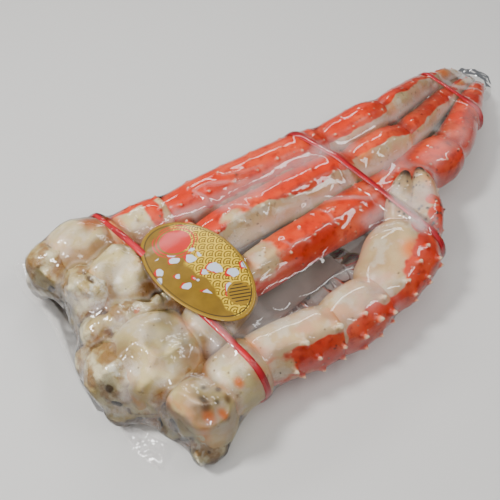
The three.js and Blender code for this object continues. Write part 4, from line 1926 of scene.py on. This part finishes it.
@dataclass
class Card:
    """The slip of card under the film, beside the front leg."""

    x: float = -97.0
    y: float = -22.0
    z: float = 12.2
    long: float = 107.0
    wide: float = 56.0
    thick: float = 0.5
    tilt: float = 3.6

    def sheet(self) -> Skin:
        """Return the card's surface."""
        rows, columns = 60, 32
        u = np.linspace(-0.5, 0.5, rows)[:, None] * self.long
        v = np.linspace(-0.5, 0.5, columns)[None] * self.wide
        slope = math.tan(math.radians(self.tilt))
        flat = np.stack([u + 0 * v, v + 0 * u, 0 * (u + v)], -1)
        top = self.z - slope * u + 0.25 * Grain(71).layered(flat, 30, 2)
        upper = np.stack([self.x + u + 0 * v, self.y + v + 0 * u, top + self.thick / 2], -1)
        lower = upper - np.array([0, 0, self.thick])
        quads = grid_faces(rows, columns)
        count = rows * columns
        grid = np.arange(count).reshape(rows, columns)
        rim = np.concatenate([grid[0], grid[1:, -1], grid[-1, -2::-1], grid[-2:0:-1, 0]])
        wall = np.stack([rim, rim + count, np.roll(rim, -1) + count, np.roll(rim, -1)], 1)
        faces = np.concatenate([quads[:, ::-1], quads + count, wall])
        return Skin(np.concatenate([upper.reshape(-1, 3), lower.reshape(-1, 3)]), faces)


# ---- The film


@dataclass(frozen=True)
class Crease:
    """A sharp wrinkle of the film along a line on its upper side."""

    line: Line
    height: float = 1.1
    wide: float = 1.3


@dataclass(frozen=True)
class FrostAndSheenVeil:
    """A milky patch of the film along a line on its upper side, partly frost and partly painted sheen."""

    line: Line
    wide: float
    strength: float


# Milky patches, partly frost and partly painted sheen and highlight on the film.
FROST_AND_SHEEN_VEILS = (
    FrostAndSheenVeil(((4.0, -56.0), (14.0, -66.0), (24.0, -62.0)), 8.0, 2.1),
    FrostAndSheenVeil(((-4.0, -66.0), (6.0, -84.0)), 7.0, 0.9),
    FrostAndSheenVeil(((-82.0, -86.0), (-64.0, -88.0)), 11.0, 0.9),
    FrostAndSheenVeil(((-92.0, 30.0), (-30.0, 22.0), (20.0, 12.0)), 9.0, 1.1),
    FrostAndSheenVeil(((-140.0, -62.0), (-118.0, -70.0)), 9.0, 0.6),
    FrostAndSheenVeil(((-170.0, -52.0), (-158.0, -40.0)), 8.0, 0.8),
    FrostAndSheenVeil(((60.0, -42.0), (110.0, -44.0), (150.0, -30.0)), 8.0, 0.7),
    FrostAndSheenVeil(((8.0, -46.0), (4.0, -60.0), (-5.0, -80.0)), 6.0, 2.0),
    FrostAndSheenVeil(((-208.0, 6.0), (-199.0, -18.0)), 5.0, 0.9),
    FrostAndSheenVeil(((-222.0, -30.0), (-232.0, -34.0)), 4.0, 1.2),
    FrostAndSheenVeil(((-186.0, 84.0), (-200.0, 92.0)), 6.0, 1.0),
    FrostAndSheenVeil(((-209.0, 26.0), (-221.0, 46.0)), 4.0, 1.1),
)


CREASES = (
    Crease(
        (
            (-65.3, 37.9), (-78.1, 48.7), (-89.4, 56.6), (-99.4, 58.8), (-96.2, 48.7),
            (-97.3, 38.5), (-95.1, 31.0), (-88.0, 21.4), (-84.3, 12.5),
        ),
        1.5,
    ),
    Crease(((-62.8, 38.4), (-73.5, 41.4), (-82.5, 42.7), (-82.8, 30.3), (-77.7, 22.6), (-71.5, 15.3)), 1.3),
    Crease(((-45.3, 39.9), (-58.6, 45), (-74.3, 54)), 1.1),
    Crease(((-47.7, -13.2), (-42.8, -20.6), (-42.2, -27.9), (-44, -34.3)), 1.2),
    Crease(((-85, -20), (-82.6, -28.6), (-74.6, -28.7), (-68.8, -33)), 1.2),
    Crease(((-68.3, -0.3), (-44, -9.8), (-24.1, -21.9), (1.1, -44.5), (13.4, -49.1)), 1.3, 2.4),
    Crease(((-126.9, -34), (-114.1, -32.6), (-99.4, -33.8), (-82.3, -36.9)), 1.0, 2.0),
    Crease(((-61.5, -47.2), (-48, -50), (-30.1, -54.1), (-10.1, -69.2)), 1.2, 2.0),
)


# The space beside the front leg, where the film lies clear over the card.
CLEAR_LINE = np.array([(-118, -50), (-40, -50)])
# Where along the section the cut shoulder begins, for the brown painted shade in its recesses and for the icy
# wrinkles.
RECESS_SHADE_X = (-125, -160)
ICY_X = (-120, -160)
# How far the film keeps off the floor.
FLOOR_GAP = 0.12


@dataclass
class FilmSkin:
    """The vacuum film drawn tight round the whole section."""

    reach: float = 20.0
    stand: float = 0.8
    clear: float = 0.3
    coarse: float = 3.0
    voxel: float = 1.35

    def build(
        self, core: Skin, held: Skin, bands: tuple[Band, ...], label: Label, finish: bpy.types.Material
    ) -> None:
        """Build and dress the film.

        Args:
            core: closed shapes for everything that the film spans.
            held: the surfaces that it may not pass through.
            bands: the bands under it.
            label: the label on it.
            finish: the film's material.
        """
        skin = self._drawn(core)
        edges, tree = edges_of(skin), tree_of(held)
        skin.points = relaxed(skin.points, edges, 0.6, 16)
        for _ in range(2):
            skin.points, away = self._outside(skin.points, tree)
            skin.points = relaxed(skin.points, edges, 0.5, 6)
        skin.points, away = self._outside(skin.points, tree)
        loose = relaxed(smooth_step(away, 1.2, 6.0)[:, None], edges, 0.5, 4)[:, 0]
        normals = normals_of(skin)
        lift = self._wrinkles(skin.points, loose, normals)
        points = relaxed(skin.points + normals * lift[:, None], edges, 0.25, 1)
        for band in bands:
            points = band.hold_out(points, self.clear)
        points, away = self._outside(points, tree)
        points, _ = self._outside(relaxed(points, edges, 0.5, 5), tree)
        points = label.hold_under(relaxed(points, edges, 0.4, 1), 0.1)
        points[:, 2] = np.maximum(points[:, 2], FLOOR_GAP)
        layers = self._paint(points, normals, away, lift, bands)
        piece("film_skin", Skin(points, skin.quads, skin.triangles, layers), finish, "film")

    def _drawn(self, core: Skin) -> Skin:
        """Return a skin that follows the core and spans its narrow hollows.

        Args:
            core: closed shapes for everything that the film spans.

        Returns:
            The skin, a little way outside the core.
        """
        skin = remeshed(core, self.coarse)
        skin = remeshed(self._grown(skin, self.reach), self.coarse)
        return remeshed(self._grown(skin, self.stand - self.reach), self.voxel)

    def _paint(
        self, points: Array, normals: Array, away: Array, lift: Array, bands: tuple[Band, ...]
    ) -> dict[Paint, Array]:
        """Work out how milky, how brown and how crinkled the film is: the brown is painted shade over the
        shoulder's recesses, and some of the milk is painted highlight and sheen.

        Args:
            points: the film's points.
            normals: its outward directions.
            away: how far each point stands off what the film holds.
            lift: how far its wrinkles stand out.
            bands: the bands under it, over which it is clear.

        Returns:
            The film's colour layers.
        """
        # Painted shade: over the shoulder, where the film spans a recess, it turns brown and opaque.
        shoulder = smooth_step(points[:, 0], *RECESS_SHADE_X)
        recess_shade = shoulder * smooth_step(away + 1.5 * Grain(93).layered(points, 9, 3), 1.2, 4.0)
        haze = smooth_step(away, 1.0, 6.5) * (0.75 + 0.4 * Grain(90).layered(points, 16, 3))
        haze = np.maximum(haze * (1 - shoulder), 1.5 * recess_shade)
        # Painted highlight: milky along the tops of raised wrinkles and creases.
        haze = np.maximum(haze, 0.85 * (1 - shoulder) * np.clip(lift / 1.2 - 0.25, 0, 1))
        for band in bands:
            haze = haze * (1 - band.cover(points))
        haze = haze * (1 - 0.9 * smooth_step(distance_to_line(points[:, :2], CLEAR_LINE), 18, 8))
        # Veils: partly frost and partly painted sheen, laid only on film that faces upwards.
        upper = smooth_step(normals[:, 2], 0.0, 0.4)
        for frost_and_sheen_veil in FROST_AND_SHEEN_VEILS:
            beside = distance_to_line(points[:, :2], np.array(frost_and_sheen_veil.line)) / frost_and_sheen_veil.wide
            cloud = np.exp(-(beside**3)) * (0.8 + 0.35 * Grain(91).layered(points, 9, 3))
            haze = np.maximum(haze, upper * frost_and_sheen_veil.strength * cloud)
            recess_shade = recess_shade * (1 - np.clip(1.5 * upper * cloud, 0, 1))
        patchy = smooth_step(Grain(95).layered(points, 30, 2), 0.1, 0.5)
        crinkle = np.clip(smooth_step(points[:, 0], *ICY_X) * 0.9 + 0.15 * patchy, 0, 1)
        return {Paint.HAZE: np.clip(haze, 0, 2.2), Paint.SHADE: crinkle, Paint.ORANGE: np.clip(recess_shade, 0, 1)}

    def _grown(self, skin: Skin, distance: float) -> Skin:
        """Return a skin moved outwards along its normals."""
        return Skin(skin.points + normals_of(skin) * distance, skin.quads, skin.triangles)

    def _outside(self, points: Array, tree: BVHTree) -> tuple[Array, Array]:
        """Push points out of what the film holds.

        Args:
            points: the film's points.
            tree: the surfaces of what it holds.

        Returns:
            The points at least the clear distance outside, and how far each one stands off.
        """
        moved = points.copy()
        away = np.zeros(len(points))
        for i, point in enumerate(points):
            near, normal, _, distance = tree.find_nearest(Vector(point))
            side = float((Vector(point) - near).dot(normal))
            if side < 0 or distance < self.clear:
                moved[i] = near + normal * self.clear
                away[i] = self.clear
            else:
                away[i] = distance
        return moved, away

    def _wrinkles(self, points: Array, loose: Array, normals: Array) -> Array:
        """Work out how far fine wrinkles and the sharp creases stand out.

        Args:
            points: the film's points.
            loose: where the film hangs free, from 0 to 1.
            normals: its outward directions.

        Returns:
            The height of the wrinkles at each point.
        """
        ridges = 1 - np.abs(Grain(80).at(points, (17, 8, 8))) * 2
        ridges = np.clip(ridges, 0, 1) ** 3
        small = 1 - np.abs(Grain(81).at(points, (6, 4, 4))) * 2
        small = np.clip(small, 0, 1) ** 3
        icy = smooth_step(points[:, 0], *ICY_X)
        lift = (0.05 + 0.3 * loose + 0.55 * icy) * ridges
        lift += (0.02 + 0.06 * loose + 0.4 * icy) * small
        lift += 0.2 * Grain(82).layered(points, 18, 2)
        upper = smooth_step(normals[:, 2], 0.1, 0.5)
        for crease in CREASES:
            away = distance_to_line(points[:, :2], np.array(crease.line))
            lift += upper * crease.height * np.exp(-((away / crease.wide) ** 2))
            lift -= upper * 0.35 * crease.height * np.exp(-(((away - 2.6 * crease.wide) / crease.wide) ** 2))
        return lift


def distance_to_line(points: Array, line: Array) -> Array:
    """Return the distance from each point to a broken line.

    Args:
        points: places in a plane.
        line: the corners of the line in order.

    Returns:
        One distance for each point.
    """
    best = np.full(len(points), np.inf)
    for start, end in zip(line[:-1], line[1:]):
        side = end - start
        part = np.clip((points - start) @ side / (side @ side), 0, 1)
        best = np.minimum(best, np.linalg.norm(points - start - part[:, None] * side, axis=1))
    return best


def rounded(corners: Array, steps: int) -> Array:
    """Return a smooth closed line through some corners.

    Args:
        corners: the corners in order.
        steps: how many points each side gets.

    Returns:
        The line's points.
    """
    before, after, beyond = np.roll(corners, 1, 0), np.roll(corners, -1, 0), np.roll(corners, -2, 0)
    part = (np.arange(steps) / steps)[:, None, None]
    curve = 0.5 * (
        2 * corners
        + (after - before) * part
        + (2 * before - 5 * corners + 4 * after - beyond) * part**2
        + (3 * corners - before - 3 * after + beyond) * part**3
    )
    return curve.transpose(1, 0, 2).reshape(-1, corners.shape[1])


@dataclass
class BagFold:
    """A flat fold of the bag that lies on the table beside the section."""

    name: str
    node: str
    outline: Line
    middle: tuple[float, float]
    rise: float
    seed: int

    def sheet(self) -> Skin:
        """Return the fold as a thin crumpled sheet."""
        rim = rounded(np.array(self.outline), 8)
        rings, columns = 26, len(rim)
        part = np.linspace(0.03, 1, rings)[:, None, None]
        flat = np.array(self.middle) + part * (rim - np.array(self.middle))
        flat = np.concatenate([flat, np.zeros((rings, columns, 1))], 2)
        crumple = np.abs(Grain(self.seed).at(flat, (9, 14, 9))) * 1.4
        fine = np.abs(Grain(self.seed + 1).at(flat, 4.0))
        spread = smooth_step(part[..., 0], 0.2, 0.9)
        flat[..., 2] = FLOOR_GAP + self.rise * (0.3 + 0.5 * crumple + 0.2 * fine) * spread
        quads = grid_faces(rings, columns, closed=True)[:, ::-1]
        return Skin(flat.reshape(-1, 3), quads, layers={Paint.HAZE: np.full(rings * columns, 0.15)})


@dataclass
class FilmFin:
    """A thin fin of film between two lines, straight or serrated at its free side."""

    inner: tuple[Place, ...]
    outer: tuple[Place, ...]
    seed: int
    teeth: float = 0.0
    haze: float = 0.3
    rim: float = 0.9
    rows: int = 90
    columns: int = 16

    def sheet(self) -> Skin:
        """Return the fin's surface."""
        inner, outer = self._even(self.inner), self._even(self.outer)
        part = np.linspace(0, 1, self.columns)[None, :, None]
        grid = inner[:, None] * (1 - part) + outer[:, None] * part
        side = unit(outer - inner)[:, None]
        saw = self.teeth * (np.arange(self.rows) % 4 / 3 - 0.5)[:, None, None]
        grid = grid + side * saw * smooth_step(part, 0.75, 1.0)
        bulge = np.sin(part[..., 0] * np.pi)
        wave = Grain(self.seed).layered(grid, 12, 3) * 1.6 * (0.3 + bulge)
        folds = (1 - np.abs(Grain(self.seed + 1).at(grid, (5, 5, 30)))) * 0.8 * bulge
        grid[..., 2] += wave + folds
        grid[..., 2] = np.maximum(grid[..., 2], FLOOR_GAP)
        count = self.rows * self.columns
        edge = np.repeat(smooth_step(part[..., 0], 0.86, 0.98), self.rows, 0)
        milk = self.haze * (0.6 + 0.8 * np.abs(Grain(self.seed + 2).at(grid, 6.0))) + self.rim * edge
        layers = {Paint.HAZE: milk.ravel(), Paint.SHADE: np.ones(count)}
        return Skin(grid.reshape(-1, 3), grid_faces(self.rows, self.columns), layers=layers)

    def _even(self, line: tuple[Place, ...]) -> Array:
        """Spread points evenly along a line.

        Args:
            line: the corners of the line in order.

        Returns:
            As many points as the fin has rows.
        """
        corners = np.array(line, float)
        run = np.concatenate([[0], np.cumsum(np.linalg.norm(np.diff(corners, axis=0), axis=1))])
        at = np.linspace(0, run[-1], self.rows)
        return np.stack([np.interp(at, run, corners[:, k]) for k in range(3)], 1)


SHOULDER_FOLD = BagFold(
    "bag_shoulder",
    "film_shoulder",
    (
        (-222, 108), (-230, 100), (-231, 77), (-236, 44), (-241, 11), (-239, -28), (-230, -52),
        (-212, -66), (-190, -68), (-160, -58), (-136, -44), (-124, -14), (-120, 22), (-126, 54),
        (-146, 78), (-180, 96), (-204, 109),
    ),
    (-185.0, 22.0),
    0.5,
    810,
)
TIPS_FOLD = BagFold(
    "bag_tips",
    "film_tips",
    ((200, 2), (216, -8), (234, -9), (249, 2), (254, 14), (248, 27), (236, 40), (218, 44), (202, 38)),
    (226.0, 17.0),
    0.5,
    820,
)
WEB = FilmFin(
    ((-226, 98, 30), (-230, 88, 28), (-226, 62, 30), (-227, 36, 26), (-238, 2, 26), (-243, -20, 14)),
    ((-233, 106, 20), (-235.5, 94, 17), (-232, 71, 12), (-237, 44, 6), (-243.5, 13, 1.5), (-246, -10, 0.5)),
    830,
    haze=0.2,
)
LEFT_FIN = FilmFin(
    ((-221, 101, 30), (-225, 99, 29), (-229, 94, 27)),
    ((-225, 109, 31), (-230, 110, 29), (-233, 105, 21)),
    840,
    haze=0.35,
    rows=40,
)
SEAL_FIN = FilmFin(
    ((-236, -30, 8), (-234, -42, 7), (-231, -52, 7), (-227, -62, 7)),
    ((-243, -36, 5), (-244, -48, 4), (-243, -58, 4), (-240, -70, 4)),
    850,
    teeth=1.6,
    haze=0.45,
    rows=120,
)
TIP_FIN = FilmFin(
    ((228, 34, 6), (240, 30, 5), (248, 20, 4), (246, 8, 5), (236, 0, 6)),
    ((236, 40, 1), (252, 38, 2.5), (262, 26, 2.5), (260, 10, 2), (244, -6, 1)),
    860,
    haze=0.3,
)


# ---- Studio


@dataclass(frozen=True)
class Lamp:
    """One soft light: where it hangs in metres, its width and height, and its strength in watts."""

    name: str
    place: Place
    size: tuple[float, float]
    power: float


LAMPS = (
    Lamp("key", (-0.65, 0.45, 1.05), (0.22, 0.22), 13.0),
    Lamp("top", (-0.5, -0.2, 1.5), (1.1, 1.1), 8.0),
    Lamp("front", (-0.6, -0.75, 0.95), (0.09, 0.09), 2.2),
    Lamp("strip", (0.5, -0.5, 1.0), (0.7, 0.1), 4.0),
    Lamp("rim", (0.6, 0.85, 0.85), (0.9, 0.11), 4.5),
)


@dataclass
class Studio:
    """The floor, the lights and the camera, in metres."""

    eye: Place = (-0.27875, -0.1844, 0.36306)
    ahead: Place = (0.42412, 0.44382, -0.78940)
    aim: Place = (0.0, 0.0, 0.03)
    lens: float = 41.07
    sensor: float = 36.0
    near: float = 0.01
    floor_half: float = 2.5
    air: tuple[float, float, float, float] = (0.92, 0.95, 1.0, 1.0)
    glow: float = 0.18

    def build(self) -> None:
        """Set up the studio."""
        self._floor()
        self._world()
        for lamp in LAMPS:
            self._light(lamp)
        camera = bpy.data.objects.new("camera", bpy.data.cameras.new("camera"))
        camera.data.lens, camera.data.sensor_width = self.lens, self.sensor
        ahead = Vector(self.ahead).normalized()
        right = ahead.cross(Vector((0, 0, 1))).normalized()
        turn = Matrix((right, right.cross(ahead), -ahead)).transposed()
        camera.matrix_world = Matrix.Translation(self.eye) @ turn.to_4x4()
        camera.data.clip_start = self.near
        bpy.context.scene.collection.objects.link(camera)
        bpy.context.scene.camera = camera

    def _floor(self) -> None:
        """Lay the floor."""
        mesh = bpy.data.meshes.new("floor")
        half = self.floor_half
        corners = [(-half, -half, 0), (half, -half, 0), (half, half, 0), (-half, half, 0)]
        mesh.from_pydata(corners, [], [(0, 1, 2, 3)])
        floor = bpy.data.objects.new("floor", mesh)
        mesh.materials.append(FloorFinish().make())
        bpy.context.scene.collection.objects.link(floor)

    def _world(self) -> None:
        """Give the room an even pale light."""
        world = bpy.data.worlds.new("room")
        world.use_nodes = True
        background = world.node_tree.nodes["Background"]
        background.inputs["Color"].default_value = self.air
        background.inputs["Strength"].default_value = self.glow
        bpy.context.scene.world = world

    def _light(self, lamp: Lamp) -> None:
        """Hang one light that faces the section.

        Args:
            lamp: the light's place, size and strength.
        """
        light = bpy.data.lights.new(lamp.name, "AREA")
        light.shape, light.energy = "RECTANGLE", lamp.power
        light.size, light.size_y = lamp.size
        hung = bpy.data.objects.new(lamp.name, light)
        hung.location = lamp.place
        aim = Vector(self.aim) - Vector(lamp.place)
        hung.rotation_euler = aim.to_track_quat("-Z", "Y").to_euler()
        bpy.context.scene.collection.objects.link(hung)


# ---- The whole section

BANDS = (
    Band("band_shoulder", -165, 10, 6, 0, 31),
    Band("band_middle", 0, -10, 6, 0, 32),
    Band("band_tips", 158, 0, 5, 13, 33),
)
# A thick stand-in for the card, so that the film spans the space beside the leg.
CARD_SPAN = Card(x=-84, y=-30, z=8.7, long=140, wide=64, thick=6.0)


def build_section() -> None:
    """Build every piece of the section in order."""
    shoulder_shell = ShellFinish(
        "shell_shoulder", cream="DCCB94", tan="AE7C38", shade="643C12", blush="DDB68C", soak=0.08
    )
    shells = Shells(ShellFinish().make(), shoulder_shell.make())
    meat_finish, band_finish = MeatFinish().make(), BandFinish().make()
    film_finish = FilmFinish().make()
    chance = Chance(SEED)
    held = Skin.empty()
    for limb in (REAR, MIDDLE, FRONT, CLAW):
        held = held.joined(limb.build(chance, shells))
    for meat in MEATS:
        held = held.joined(meat.build(meat_finish))
    card = Card().sheet()
    piece("card_slip", card, CardFinish().make(), "slip", "inner_slip")
    for band in BANDS:
        band.build(held, band_finish)
    label = Label()
    FilmSkin().build(held.joined(CARD_SPAN.sheet()), held.joined(card), BANDS, label, film_finish)
    label.build(LabelFinish().make())
    for fold, fins in ((SHOULDER_FOLD, (WEB, LEFT_FIN, SEAL_FIN)), (TIPS_FOLD, (TIP_FIN,))):
        bag = fold.sheet()
        for fin in fins:
            bag = bag.joined(fin.sheet())
        piece(fold.name, bag, film_finish, "film", fold.node)


def main() -> None:
    """Build the section and the studio."""
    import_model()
    build_section()
    Studio().build()
    bpy.context.view_layer.update()


if __name__ == "__main__":
    main()
